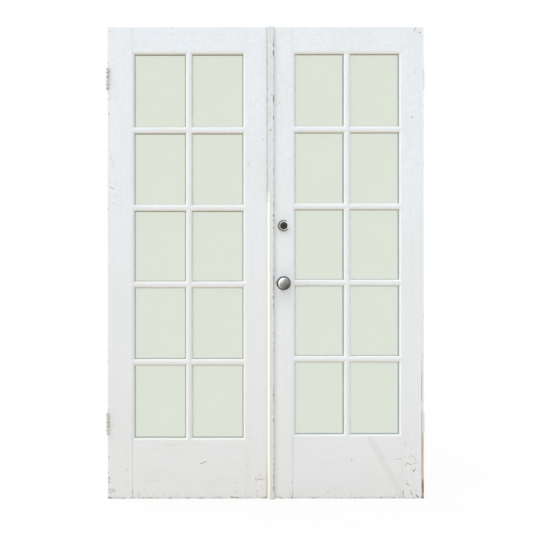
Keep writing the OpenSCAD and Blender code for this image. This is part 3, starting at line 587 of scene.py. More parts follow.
def leaf_wear(f, front, marks):
    """Where the paint has gone from a leaf's front: specks, chips along the rim, and the marks, the
    widest of which is a soft band of painted cast shadow.
    """
    look = bpy.context.scene.doors_paint
    distance, pick = f.cells(24.0)
    speck = distance.rise(0.050, 0.032) * pick.rise(0.90, 0.93) * 0.6
    side_edge = f.x.rise(LEFT_LOW.x + 0.005, LEFT_LOW.x + 0.001)
    rim = side_edge.larger(f.z.rise(TOP_Z - 0.003, TOP_Z - 0.0005) * 0.7)
    chip = rim * f.noise((160.0, 160.0, 60.0), 3.0, 0.7).rise(0.60, 0.66) * 0.8
    worn = speck.larger(chip) * front
    ragged = f.noise(340.0, 2.0).rise(0.38, 0.52)
    for start, end, width, strength in marks:
        # A mark this wide is a soft band of painted cast shadow, laid as given
        if width > PAINTED_SHADOW_W:
            worn = worn.larger(f.stroke(start, end, width) * front * strength)
            continue
        mark = f.stroke(start, end, width * look.mark_width) * min(1.0, strength * look.mark_strength)
        worn = worn.larger(mark * front * ragged)
    return worn


def seam_stain_and_shadow(f, tone, front):
    """The seam beside the astragal: a broken dark line of dirt and painted shadow above, a cream to tan
    stain below.
    """
    look = bpy.context.scene.doors_astragal
    edge, dashes = ASTRAGAL_LOW.x, broken_dirt(f)
    # Dark line of dirt and painted shadow where the gap beside the astragal falls in shade
    dark = f.x.rise(edge - 0.0026, edge - 0.0014) * f.z.rise(*DARK_SEAM) * (0.40 + 0.60 * dashes)
    stain = f.x.rise(edge - 0.013, edge - 0.001) * f.z.rise(*STAINED_SEAM) * 0.16
    foot = f.x.rise(edge - 0.009, edge - 0.001) * f.z.rise(0.30, 0.02) * (0.35 + 0.4 * dashes)
    tone = f.mixed(stain.larger(foot) * front, tone, look.stain_colour)
    return f.mixed(dark * front * 0.85, tone, look.seam_shadow_and_dirt_colour)


def paint_finish(name, upright, side, marks=()):
    """Old white gloss paint on wood, brushed along the member, with grime, chips and scuffs, and with
    painted highlights, painted bounce light and painted shade in its mouldings.
    """
    look = bpy.context.scene.doors_paint
    f = Finish(name)
    along, across = (3.0, 120.0) if upright else (120.0, 3.0)
    streaks = f.noise((across, 60.0, along), 3.0, 0.6)
    mottle = f.noise(64.0, 2.0, 0.6)
    patches = f.noise((3.4, 3.4, 2.6), 2.0, 0.55)
    fine = f.noise(700.0, 2.0)
    tone = aged_paint(f, side, streaks, mottle, patches)
    front = f.y.rise(FRONT_Y + 0.003, FRONT_Y + 0.001)
    tone = leaf_dirt(f, tone, side, front)
    worn = leaf_wear(f, front, marks)
    scuffs = f.mixed(mottle.rise(0.35, 0.65), look.scuff_colour, look.wood_colour)
    tone = f.mixed(worn, tone, scuffs)
    if name == "paint_left_meeting_stile":
        tone = seam_stain_and_shadow(f, tone, front)
    relief = streaks * 0.30 + mottle * 0.45 + fine * 0.08 - worn * 1.4
    dullness = 0.44 + 0.22 * worn + 0.08 * patches
    return f.surface(tone, dullness, relief, 0.00022, Specular_IOR_Level=0.35)


def astragal_finish():
    """The astragal's older paint: grey-white in front, a painted cream highlight on its lower bevel,
    rubbed along its arris.
    """
    look = bpy.context.scene.doors_astragal
    f = Finish("astragal_paint")
    low_x, high_x = ASTRAGAL_LOW.x, ASTRAGAL_HIGH.x
    streaks = f.noise((420.0, 420.0, 3.5), 2.0, 0.6)
    blot = f.noise((70.0, 70.0, 30.0), 4.0, 0.7)
    faint = f.noise((30.0, 30.0, 9.0), 3.0, 0.6)
    white = f.mixed(f.z.rise(0.1, 1.6), look.low_colour, look.high_colour)
    dirty = streaks.rise(0.40, 0.75) * 0.10 + faint.rise(0.5, 0.8) * 0.05
    tone = f.mixed(dirty, white, look.dirt_colour)

    # Painted light on the leftward bevel: dimmed with the dirt colour above as painted shade, and a
    # cream painted highlight below
    bevel = f.facing(0).rise(-0.30, -0.60)
    tone = f.mixed(bevel * f.z.rise(*CREAM_BEVEL[::-1]) * 0.22, tone, look.dirt_colour)
    tone = f.mixed(bevel * f.z.rise(*CREAM_BEVEL), tone, look.bevel_highlight_colour)
    near = f.y.rise(ASTRAGAL_LOW.y + 0.005, ASTRAGAL_LOW.y + 0.003)
    arris = f.x.rise(high_x - 0.0036, high_x - 0.0014) * near
    tone = f.mixed(arris * 0.38, tone, look.arris_colour)
    ridge = f.upright_line(low_x + 0.0105, 0.0016) * blot.rise(0.42, 0.60)
    ridge = ridge.larger(f.upright_line(low_x + 0.0165, 0.0012) * faint.rise(0.50, 0.62) * 0.6)
    tone = f.mixed(ridge * 0.5, tone, look.dirt_colour)

    seam = f.x.rise(low_x + 0.0014, low_x + 0.0003)
    dashes = f.noise((40.0, 40.0, 34.0), 3.0, 0.65)
    # Dark seam on the bevel's outer edge: dirt and painted shadow of the gap
    upper_seam = seam * f.z.rise(*DARK_SEAM) * (0.30 + 0.70 * dashes.rise(0.42, 0.60))
    tone = f.mixed(upper_seam * 0.75, tone, look.seam_shadow_and_dirt_colour)
    foot = seam * f.z.rise(0.30, 0.03) * blot.rise(0.2, 0.5)
    stain = seam * f.z.rise(*STAINED_SEAM)
    tone = f.mixed((stain * 0.25).larger(foot * 0.8), tone, look.stain_colour)

    dots, pick = f.cells((130.0, 130.0, 26.0))
    worn = dots.rise(0.14, 0.08) * pick.rise(0.90, 0.94) * 0.6
    beads = f.noise((60.0, 60.0, 62.0), 3.0, 0.6)
    rubbed = f.x.rise(high_x - 0.0040, high_x - 0.0026) * beads.rise(0.52, 0.60)
    worn = worn.larger(rubbed * 0.45)
    arris_mm = high_x * 1000
    for height, long in ARRIS_CHIPS:
        chip = f.stroke((arris_mm - 1.8, height - long / 2), (arris_mm - 2.2, height + long / 2), 3.4)
        worn = worn.larger(chip * beads.rise(0.38, 0.50) * (0.6 + 0.35 * f.z.rise(1.0, 1.5)))
    for start, end, width, strength in ASTRAGAL_MARKS:
        worn = worn.larger(f.stroke(start, end, width) * strength)
    worn = worn * near
    tone = f.mixed(worn, tone, look.wood_colour)
    relief = streaks * 0.4 + blot * 0.35 - worn * 1.2
    return f.surface(tone, 0.45 + 0.2 * worn, relief, 0.0003, Specular_IOR_Level=0.35)


def bare_wood_finish(name, colour):
    """Weathered softwood, with its grain upright."""
    f = Finish(name)
    grain = f.noise((240.0, 240.0, 7.0), 4.0, 0.65)
    rings = f.noise((60.0, 60.0, 2.0), 2.0)
    dark = tuple(c * 0.45 for c in colour)
    tone = f.mixed(grain.rise(0.35, 0.75) * 0.8, colour, dark)
    tone = f.mixed(rings.rise(0.5, 0.8) * 0.3, tone, dark)
    return f.surface(tone, 0.8, grain, 0.0004, Specular_IOR_Level=0.2)


def strip_finish():
    """The edge strip: white paint above, cracked and worn to bare wood towards the foot."""
    look = bpy.context.scene.doors_paint
    f = Finish("strip_paint")
    grain = f.noise((260.0, 260.0, 6.0), 4.0, 0.65)
    blot = f.noise((120.0, 120.0, 22.0), 4.0, 0.7)
    clean = f.mixed(f.z.rise(-0.15, 1.95), look.low_colour, look.high_colour)
    corner = f.x.rise(RIGHT_LOW.x, RIGHT_HIGH.x)
    share_bare = f.z.rise(0.36, 0.22) * 0.6 + blot * 0.7 + corner * 0.12
    bare = share_bare.rise(0.70, 0.90) * f.z.rise(*BARE_STRIP)
    wood = f.mixed(grain.rise(0.35, 0.70) * 0.45, look.strip_wood_colour, look.strip_dark_colour)
    wood = f.mixed(f.z.rise(0.14, 0.05) * blot.rise(0.25, 0.55), wood, look.strip_dark_colour)
    tone = f.mixed(bare * 0.9, clean, wood)
    seam = f.x.rise(RIGHT_LOW.x + 0.0032, RIGHT_LOW.x + 0.0018)
    crack = seam * f.z.rise(0.66, 0.50)
    tone = f.mixed((crack * blot.rise(0.25, 0.52)).larger(seam * 0.06), tone, look.strip_dark_colour)
    dots, pick = f.cells((110.0, 110.0, 30.0))
    dot = dots.rise(0.22, 0.12) * pick.rise(0.80, 0.85) * f.z.rise(0.50, 0.35)
    rim = f.x.rise(RIGHT_HIGH.x - 0.003, RIGHT_HIGH.x) * blot.rise(0.58, 0.64)
    front = f.y.rise(FRONT_Y + 0.004, FRONT_Y + 0.002)
    tone = f.mixed(dot.larger(rim) * front * 0.7, tone, look.wood_colour)
    relief = grain * 0.5 * bare - bare * 0.9 + blot * 0.15
    return f.surface(tone, 0.45 + 0.3 * bare, relief, 0.0004, Specular_IOR_Level=0.3)


def glass_finish():
    """Clear glass, pale green, with a faint film of dust."""
    look = bpy.context.scene.doors_glass
    f = Finish("pale_glass")
    film = f.noise((7.0, 7.0, 5.0), 4.0, 0.6)
    alpha = look.opacity + (film - 0.5) * 0.02
    ripple = f.noise((5.0, 5.0, 9.0), 1.0)
    return f.surface(look.colour, 0.06, ripple, 0.0003, Alpha=alpha)


def putty_and_shadow_finish(name, colour):
    """Old putty and dirt round the panes, with the painted shadow of the mouldings on the glass."""
    look = bpy.context.scene.doors_glass
    f = Finish(name)
    blot = f.noise(70.0, 4.0, 0.7)
    tone = f.mixed(blot.rise(0.45, 0.72) * 0.35, colour, look.putty_dirt_colour)
    return f.surface(tone, 0.75, blot, 0.0003, Specular_IOR_Level=0.2)


def knob_finish(name, centre, radius):
    """Satin nickel of a knob, with painted highlights at its upper left and on its left rim, and
    painted shade and dark reflection to the lower right, at its right edge and in its dimple.
    """
    look = bpy.context.scene.doors_hardware
    f = Finish(name)
    wear = f.noise(70.0, 4.0, 0.65)
    rings = f.noise(500.0, 2.0, 0.6)
    right, up, away = f.around(centre, radius)
    # Painted light and reflection: lighter to the upper left, darker to the lower right
    slope = up * 0.62 - right * 0.52 + (wear - 0.5) * 0.5
    tone = f.mixed(slope.rise(-0.75, 0.20), look.nickel_shade_colour, look.nickel_colour)
    tone = f.mixed(slope.rise(0.15, 0.75) * 0.8, tone, look.clean_nickel_and_highlight_colour)
    # Painted highlight on the left side of the rim
    rim = away.rise(0.80, 0.90) * (up * 0.3 - right).rise(0.25, 0.75)
    tone = f.mixed(rim * 0.9, tone, look.nickel_highlight_colour)
    # Painted shade on the right edge and in the dimple at the middle
    edge = away.rise(0.90, 0.98) * (right - up * 0.4).rise(0.1, 0.6)
    tone = f.mixed(edge * 0.6, tone, look.nickel_shade_colour)
    tone = f.mixed(away.rise(0.17, 0.13) * 0.55, tone, look.nickel_shade_colour)
    return f.surface(tone, 0.30 + (wear - 0.5) * 0.16, rings * 0.4 + wear * 0.3, 0.00008, metallic=1.0)


def rose_finish(name, centre, radius):
    """Nickel rose with painted reflections, blue-grey above and dark brown below, and a painted
    highlight at its rim.
    """
    look = bpy.context.scene.doors_hardware
    f = Finish(name)
    wear = f.noise(90.0, 4.0, 0.65)
    right, up, away = f.around(centre, radius)
    # Painted reflection: blue-grey above, dark brown below, and painted shade towards the lower rim
    upper = (up + (wear - 0.5) * 0.5).rise(-0.10, 0.30)
    tone = f.mixed(upper, look.rose_lower_reflection_colour, look.rose_upper_reflection_colour)
    tone = f.mixed(away.rise(0.70, 0.92) * up.rise(0.3, -0.4) * 0.35, tone, look.nickel_shade_colour)
    streak = wear.rise(0.52, 0.68) * up.rise(-0.1, 0.3)
    tone = f.mixed(streak * 0.45, tone, look.nickel_colour)
    # Painted highlight round the outer rim
    tone = f.mixed(away.rise(0.955, 0.985) * 0.75, tone, look.nickel_highlight_colour)
    return f.surface(tone, 0.32 + (wear - 0.5) * 0.16, wear, 0.00008, metallic=1.0)


def collar_finish(name, centre, radius):
    """The deadbolt's collar: painted reflections on its skirt, dark blue-grey at its upper left and
    gold-brown below, and a painted highlight to the right.
    """
    look = bpy.context.scene.doors_hardware
    f = Finish(name)
    wear = f.noise(120.0, 4.0, 0.65)
    right, up, away = f.around(centre, radius)
    # Painted highlight as the collar's ground colour
    bright = look.nickel_highlight_colour
    skirt = away.rise(0.74, 0.79)
    upper = (up * 0.60 - right * 0.80).rise(-0.05, 0.25) * up.rise(-0.15, 0.1)
    lower = (-up * 0.80 - right * 0.50 + (wear - 0.5) * 0.3).rise(-0.05, 0.20)
    # Painted reflections on the skirt: dark blue-grey at the upper left, gold-brown below, less
    # metallic there
    tone = f.mixed(skirt * upper * (0.85 + 0.15 * wear.rise(0.42, 0.58)), bright, look.rose_upper_reflection_colour)
    tone = f.mixed(skirt * lower, tone, look.collar_lower_reflection_colour)
    tone = f.mixed(skirt * lower * away.rise(0.95, 0.90) * 0.6, tone, look.rose_lower_reflection_colour)
    sheen = 1.0 - 0.85 * (skirt * lower)
    return f.surface(tone, 0.28 + (wear - 0.5) * 0.16, wear, 0.00008, metallic=sheen)


def metal_finish(name, colour, dark, roughness, metallic=1.0, spots=0.0):
    """Plated metal, dulled unevenly by handling, with painted shade in its hollows."""
    f = Finish(name)
    wear = f.noise(55.0, 4.0, 0.65)
    lines = f.noise(90.0, 2.0, 0.6)
    tone = f.mixed(wear.rise(0.40, 0.72) * 0.5, colour, dark)
    # Painted shade: darker in the hollows
    tone = f.mixed(f.hollow(0.008).rise(0.3, 0.95) * 0.7, tone, dark)
    if spots:
        dots, pick = f.cells(300.0)
        tone = f.mixed(dots.rise(0.25, 0.12) * pick.rise(0.75, 0.8) * spots, tone, dark)
    relief = lines * 0.5 + wear * 0.3
    return f.surface(tone, roughness + (wear - 0.5) * 0.18, relief, 0.0001, metallic=metallic)


def hinge_finish():
    """Hinge leaves and barrels under old paint that has rubbed off at the knuckles' edges."""
    look = bpy.context.scene.doors_hardware
    f = Finish("painted_hinge")
    blot = f.noise(110.0, 4.0, 0.7)
    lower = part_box("left_lower_frame_plate")[0].z
    plate_low, plate_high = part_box("left_upper_frame_plate")
    knuckle = (plate_high.z - plate_low.z) / KNUCKLES
    above = f.z - lower - f.z.rise(*BETWEEN_HINGES) * (plate_low.z - lower)
    knuckles_up = above * (1 / knuckle)
    gap = (knuckles_up.math("FRACT", knuckles_up) - 0.5).size().rise(0.40, 0.47)
    outside = f.y.rise(FRONT_Y, FRONT_Y - 0.001).larger(f.y.rise(BACK_Y, BACK_Y + 0.001))
    bare = (f.hollow(0.0018).rise(0.40, 0.65) * 0.8).larger(blot.rise(0.62, 0.67) * 0.7)
    bare = bare.larger(gap * outside * blot.rise(0.30, 0.50) * 0.75)
    barrel = (plate_low.x + LEFT_LOW.x) / 2
    beside = f.x.rise(barrel + 0.0008, barrel + 0.0030) * f.x.rise(LEFT_LOW.x + 0.02, LEFT_LOW.x + 0.01)
    bare = bare.larger(beside * blot.rise(0.45, 0.55) * 0.45)
    paint = f.mixed(f.z.rise(*HINGE_PAINT), look.lower_hinge_colour, look.upper_hinge_colour)
    tone = f.mixed(bare, paint, look.rust_colour)
    return f.surface(tone, 0.5 + 0.25 * bare, blot * 0.6 - bare * 0.8, 0.0002, Specular_IOR_Level=0.35)


def colour(default, words):
    return FloatVectorProperty(name=words, description=words, subtype="COLOR", size=3, min=0.0, max=1.0,
                               default=default)


def length(default, words, most=10.0):
    return FloatProperty(name=words, description=words, subtype="DISTANCE", unit="LENGTH", min=0.0,
                         max=most, default=default)


def share(default, words, most=1.0):
    return FloatProperty(name=words, description=words, min=0.0, max=most, default=default)


def spread(default, words):
    return FloatProperty(name=words, description=words, subtype="ANGLE", default=math.radians(default))


class DoorsPaint(bpy.types.PropertyGroup):
    """Finish of the painted woodwork."""
    arris: length(0.0004, "Easing of the wood's arrises", 0.003)
    high_colour: colour((0.815, 0.860, 0.905), "Paint at the top")
    low_colour: colour((0.775, 0.776, 0.768), "Paint towards the foot")
    cool_colour: colour((0.765, 0.772, 0.805), "Cool patches in the paint")
    # Painted highlight on the upward and side faces of the mouldings
    moulding_highlight_colour: colour((0.93, 0.935, 0.91), "Cleaner paint on the mouldings")
    aged_colour: colour((0.745, 0.755, 0.725), "Yellowed paint")
    # Painted warm bounce light on the downward faces
    underside_bounce_colour: colour((0.83, 0.77, 0.64), "Yellowed paint on the undersides")
    joint_colour: colour((0.27, 0.25, 0.22), "Dirt in the joints")
    scuff_colour: colour((0.235, 0.18, 0.115), "Scuffs")
    # Dirt and painted shade in the creases of the mouldings
    crevice_dirt_and_shade_colour: colour((0.50, 0.46, 0.38), "Dirt in the mouldings")
    grime_colour: colour((0.40, 0.38, 0.33), "Grime on the paint")
    haze_colour: colour((0.60, 0.585, 0.53), "Splashed dirt near the foot")
    wood_colour: colour((0.21, 0.15, 0.10), "Wood in the chips")
    strip_wood_colour: colour((0.73, 0.60, 0.44), "Bare wood of the edge strip")
    strip_dark_colour: colour((0.185, 0.105, 0.05), "Weathered wood at the strip's foot")
    # Strength of the dirt and painted shade in the creases
    crevice: share(0.22, "Strength of the dirt in the mouldings")
    mark_strength: share(1.9, "Strength of the marks", 4.0)
    mark_width: share(1.2, "Width of the marks", 3.0)
    # Reach of the dirt and painted shade in the creases
    crevice_reach: length(0.006, "Reach of the dirt in the mouldings", 0.1)


class DoorsAstragal(bpy.types.PropertyGroup):
    """Finish and wear of the astragal."""
    arris: length(0.0006, "Easing of the astragal's arrises", 0.003)
    small_chips: IntProperty(name="Small chips", description="Number of small chips", min=0, max=200,
                             default=44)
    chip_depth: length(0.0018, "Depth of the chips", 0.006)
    high_colour: colour((0.755, 0.775, 0.780), "Paint at the top")
    low_colour: colour((0.720, 0.725, 0.690), "Paint towards the foot")
    # Painted cream highlight on the lower part of the bevel
    bevel_highlight_colour: colour((0.945, 0.925, 0.835), "Cream paint on the bevel")
    arris_colour: colour((0.48, 0.42, 0.33), "Paint worn thin along the arris")
    dirt_colour: colour((0.50, 0.48, 0.43), "Dirt on the paint")
    stain_colour: colour((0.52, 0.44, 0.30), "Stain along the seam")
    # Dirt and painted shadow in the seam
    seam_shadow_and_dirt_colour: colour((0.17, 0.15, 0.13), "Dirt in the seam")
    wood_colour: colour((0.2, 0.135, 0.085), "Wood in the chips")


class DoorsGlass(bpy.types.PropertyGroup):
    """Finish of the panes, and the putty and painted shadow round them."""
    colour: colour((0.405, 0.53, 0.305), "Glass")
    opacity: share(0.26, "How much of the light each face of the glass holds back")
    putty_h: length(0.0014, "Height of the putty lines", 0.01)
    # Painted shadow of the rails and bars on the putty below them
    putty_top_shadow_colour: colour((0.30, 0.28, 0.22), "Shaded putty below the rails and bars")
    # Grey putty with painted shadow of the mouldings
    grey_putty_and_shadow_colour: colour((0.4, 0.42, 0.38), "Putty")
    # Pale putty with painted shadow of the mouldings
    pale_putty_and_shadow_colour: colour((0.66, 0.70, 0.66), "Pale putty")
    # Bluish putty with painted shadow of the mouldings
    blue_putty_and_shadow_colour: colour((0.36, 0.43, 0.44), "Bluish putty")
    putty_light_colour: colour((0.76, 0.81, 0.74), "Smeared putty")
    putty_dirt_colour: colour((0.25, 0.23, 0.19), "Dirt on the putty")


class DoorsHardware(bpy.types.PropertyGroup):
    """Finish of the hinges and locks."""
    # Painted highlight on the rims and edges of the nickel
    nickel_highlight_colour: colour((0.90, 0.90, 0.88), "Bright nickel at the rims")
    # Clean nickel, and the painted highlight on the knob's upper left
    clean_nickel_and_highlight_colour: colour((0.54, 0.56, 0.58), "Clean nickel")
    nickel_colour: colour((0.28, 0.28, 0.265), "Satin nickel")
    # Painted shade and dark reflection on the nickel
    nickel_shade_colour: colour((0.085, 0.080, 0.060), "Tarnished nickel")
    # Painted blue-grey reflection on the rose's upper part and the collar's upper left
    rose_upper_reflection_colour: colour((0.055, 0.08, 0.1), "Blue tarnish of the rose")
    # Painted dark brown reflection on the rose's lower part and the collar's lower edge
    rose_lower_reflection_colour: colour((0.04, 0.028, 0.015), "Brown tarnish of the rose")
    # Painted gold-brown reflection on the collar's lower skirt
    collar_lower_reflection_colour: colour((0.22, 0.115, 0.012), "Brass under the collar's plating")
    steel_colour: colour((0.55, 0.56, 0.57), "Plated steel")
    steel_dark_colour: colour((0.22, 0.22, 0.22), "Dull steel")
    cylinder_colour: colour((0.012, 0.017, 0.019), "Face of the lock cylinder")
    plug_colour: colour((0.045, 0.055, 0.055), "Key plug")
    upper_hinge_colour: colour((0.74, 0.74, 0.72), "Paint on the upper hinges")
    lower_hinge_colour: colour((0.80, 0.77, 0.69), "Paint on the lower hinges")
    rust_colour: colour((0.2, 0.145, 0.095), "Rusty steel")
    sides: IntProperty(name="Sides", description="Sides of the turned pieces", min=24, max=256,
                       default=96)


class DoorsStage(bpy.types.PropertyGroup):
    """Floor, light and camera."""
    floor_size: length(60.0, "Side of the floor", 200.0)
    sky: share(0.46, "Strength of the even light", 3.0)
    key_strength: share(1.5, "Strength of the key light", 10.0)
    top_strength: share(1.7, "Strength of the light from above", 10.0)
    key_spread: spread(100, "Angle over which the key light is spread")
    top_spread: spread(100, "Angle over which the top light is spread")
    floor_colour: colour((0.79, 0.78, 0.75), "Floor")
    floor_shade: share(0.13, "Strength of the shadow on the floor")
    camera_distance: length(3.9, "Distance of the camera from the doors' front", 20.0)
    pixel: length(0.004312, "Size of the photo's pixel on the doors' front", 0.1)


class DOORS_OT_woodwork(bpy.types.Operator):
    """Eases the arrises of the stiles, rails and glazing bars and paints them"""
    bl_idname = "doors.woodwork"
    bl_label = "Woodwork"

    def execute(self, context):
        look = context.scene.doors_paint
        for side in SIDES:
            plain = {upright: paint_finish(f"paint_{side}_{way}", upright, side)
                     for upright, way in ((True, "upright"), (False, "level"))}
            for member in UPRIGHT_MEMBERS + LEVEL_MEMBERS:
                node = f"{side}_{member}"
                upright = member in UPRIGHT_MEMBERS
                marks = MARKS.get(node)
                finish = plain[upright]
                if marks:
                    finish = paint_finish(f"paint_{node}", upright, side, marks)
                settle(eased_copy(node, look.arris), finish, DOOR_OF[side], (node,))
            painted(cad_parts[f"{side}_glazing_beads"], plain[False])
        return {"FINISHED"}


class DOORS_OT_edge_strip(bpy.types.Operator):
    """Makes the worn strip on the right leaf's hinge edge, split and splintered near its foot"""
    bl_idname = "doors.edge_strip"
    bl_label = "Edge strip"

    def execute(self, context):
        look = context.scene.doors_paint
        piece = eased_copy("right_edge_strip", look.arris)
        wood = bare_wood_finish("splintered_wood", look.strip_wood_colour)
        draw = random.Random(STRIP_SEED)
        nicks = [(draw.uniform(*heights), draw.uniform(*lengths), draw.uniform(*depths))
                 for count, heights, lengths, depths in STRIP_NICKS for _ in range(count)]
        cutters = [nick_cutter((RIGHT_HIGH.x, FRONT_Y + draw.uniform(0.0, 0.006), z), size, depth, draw)
                   for z, size, depth in nicks]
        carve(piece, cutters, wood, strip_finish())
        settle(piece, None, "right_door", ("right_edge_strip",))
        return {"FINISHED"}


def nick_cutter(place, size, depth, draw):
    """A rough stone-shaped cutter, long upwards, that reaches that deep past the place."""
    bpy.ops.object.select_all(action="DESELECT")
    bpy.ops.mesh.primitive_ico_sphere_add(subdivisions=2, radius=1.0, location=place)
    cutter = bpy.context.object
    cutter.scale = (depth, depth * 1.4, size / 2)
    cutter.rotation_euler = [draw.uniform(-most, most) for most in NICK_TILT]
    bpy.ops.object.transform_apply(location=True, rotation=True, scale=True)
    bpy.ops.object.mode_set(mode="EDIT")
    bpy.ops.mesh.select_all(action="SELECT")
    bpy.ops.transform.vertex_random(offset=depth * 0.22, seed=draw.randint(1, 9999))
    bpy.ops.object.mode_set(mode="OBJECT")
    return cutter


def carve(piece, cutters, inside, outside):
    """Cuts the cutters out of a piece, which shows its own finish outside and another in the cuts."""
    cutter = joined(cutters)
    painted(cutter, inside)
    painted(piece, outside)
    modified(piece, "BOOLEAN", object=cutter, operation="DIFFERENCE", solver="EXACT",
             material_mode="TRANSFER", use_self=True)
    bpy.data.objects.remove(cutter)
    shaded(piece)


class DOORS_OT_astragal(bpy.types.Operator):
    """Makes the astragal with its chipped arris"""
    bl_idname = "doors.astragal"
    bl_label = "Astragal"

    def execute(self, context):
        look = context.scene.doors_astragal
        piece = eased_copy("astragal", look.arris)
        draw = random.Random(ASTRAGAL_SEED)
        cutters = []
        arris_x, arris_y = ASTRAGAL_HIGH.x, ASTRAGAL_LOW.y
        for height, long in ARRIS_CHIPS:
            depth = look.chip_depth * draw.uniform(*CHIP_SPREAD)
            cutters.append(nick_cutter((arris_x, arris_y, height / 1000), long / 1000, depth, draw))
        for _ in range(look.small_chips):
            place = (arris_x - draw.uniform(*CHIP_INSET), arris_y + draw.uniform(*CHIP_RISE),
                     draw.uniform(CHIP_MARGIN, TOP_Z - CHIP_MARGIN))
            size = draw.uniform(*CHIP_LENGTH)
            cutters.append(nick_cutter(place, size, look.chip_depth * draw.uniform(*CHIP_SHARE), draw))
        carve(piece, cutters, bare_wood_finish("astragal_wood", look.wood_colour), astragal_finish())
        settle(piece, None, "left_door", ("astragal",))
        return {"FINISHED"}


def lights(side):
    """The lights of a leaf as lowest x, highest x, lowest z and highest z, between the sight lines."""
    hinge, meeting, bar = (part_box(f"{side}_{name}") for name in UPRIGHT_MEMBERS)
    first, last = (hinge, meeting) if side == "left" else (meeting, hinge)
    columns = ((first[1].x, bar[0].x), (bar[1].x, last[0].x))
    bars = [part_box(f"{side}_cross_bars_{level}") for level in BAR_LEVELS]
    tops = [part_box(f"{side}_top_rail")[0].z] + [low.z for low, high in bars]
    feet = [high.z for low, high in bars] + [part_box(f"{side}_bottom_rail")[1].z]
    return [(x0, x1, z0, z1) for z1, z0 in zip(tops, feet) for x0, x1 in columns]


class DOORS_OT_glass(bpy.types.Operator):
    """Gives the panes their glass and lays the thin lines of old putty and painted shadow round them"""
    bl_idname = "doors.glass"
    bl_label = "Glass and putty"

    def execute(self, context):
        look = context.scene.doors_glass
        glass = glass_finish()
        colours = (look.putty_top_shadow_colour, look.grey_putty_and_shadow_colour, look.pale_putty_and_shadow_colour,
                   look.blue_putty_and_shadow_colour, look.putty_light_colour)
        tones = [putty_and_shadow_finish(f"putty_{number + 1}", tone) for number, tone in enumerate(colours)]
        for side in SIDES:
            for column in ("outer", "inner"):
                finish_node(f"{side}_{column}_panes", glass)
            rims = []
            for number, light in enumerate(lights(side)):
                row, column = divmod(number, 2)
                lines = {edge: PUTTY[side][edge][column if edge in ("left", "right") else row]
                         for edge in EDGES}
                rims.append(self.putty_line(light, lines, look, tones))
            piece = joined(rims)
            piece.name = f"{side}_putty_lines"
            shaded(piece)
            settle(piece, None, DOOR_OF[side])
        return {"FINISHED"}

    def putty_line(self, light, lines, look, tones):
        """A low rim on the glass round one light, with a width and a tone for each edge."""
        x0, x1, z0, z1 = light
        wide, high = x1 - x0, z1 - z0
        middle = ((x0 + x1) / 2, GLASS_Y, (z0 + z1) / 2)
        left, right, top, foot = (lines[edge][0] / 1000 for edge in EDGES)
        bpy.ops.object.select_all(action="DESELECT")
        bpy.ops.mesh.primitive_plane_add(size=1.0, location=middle, rotation=(math.pi / 2, 0, 0))
        piece = bpy.context.object
        piece.scale = (wide, high, 1)
        bpy.ops.object.transform_apply(location=True, rotation=True, scale=True)
        bpy.ops.object.mode_set(mode="EDIT")
        bpy.ops.mesh.select_mode(type="FACE")
        bpy.ops.mesh.select_all(action="SELECT")
        inset = 0.001
        bpy.ops.mesh.inset(thickness=inset, depth=0.0)
        narrowed = (wide - left - right) / (wide - 2 * inset)
        lowered = (high - foot - top) / (high - 2 * inset)
        bpy.ops.transform.resize(value=(narrowed, 1, lowered), center_override=middle)
        bpy.ops.transform.translate(value=((left - right) / 2, 0, (foot - top) / 2))
        bpy.ops.mesh.delete(type="FACE")
        bpy.ops.mesh.select_all(action="SELECT")
        bpy.ops.mesh.extrude_region_move(TRANSFORM_OT_translate={"value": (0, -look.putty_h, 0)})
        bpy.ops.mesh.select_all(action="SELECT")
        bpy.ops.mesh.normals_make_consistent(inside=False)
        bpy.ops.object.mode_set(mode="OBJECT")
        modified(piece, "BEVEL", width=look.putty_h * 0.5, segments=2, limit_method="ANGLE",
                 angle_limit=ARRIS_ANGLE)
        for tone in tones:
            piece.data.materials.append(tone)
        for face in piece.data.polygons:
            near = {"left": (face.center.x - x0) / left, "right": (x1 - face.center.x) / right,
                    "foot": (face.center.z - z0) / foot, "top": (z1 - face.center.z) / top}
            face.material_index = lines[min(near, key=near.get)][1]
        return piece


class DOORS_OT_hinges(bpy.types.Operator):
    """Eases and paints the hinge leaves, barrels and pins, and finishes their screws"""
    bl_idname = "doors.hinges"
    bl_label = "Hinges"

    def execute(self, context):
        look = context.scene.doors_hardware
        paint = hinge_finish()
        steel = metal_finish("screw_steel", look.steel_colour, look.steel_dark_colour, 0.38)
        for side in SIDES:
            for level in LEVELS:
                for kind, body in (("door", DOOR_OF[side]), ("frame", "frame_plates")):
                    node = f"{side}_{level}_{kind}_plate"
                    settle(eased_copy(node, PLATE_ARRIS), paint, body, (node,))
            finish_node(f"{side}_hinge_screws", steel)
        pins = eased_copy("hinge_pins", PIN_ARRIS)
        settle(pins, paint, "frame_plates", ("hinge_pins",))
        return {"FINISHED"}


def finish_node(node, material):
    """Gives a CAD node that stays in view its finish."""
    painted(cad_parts[node], material)


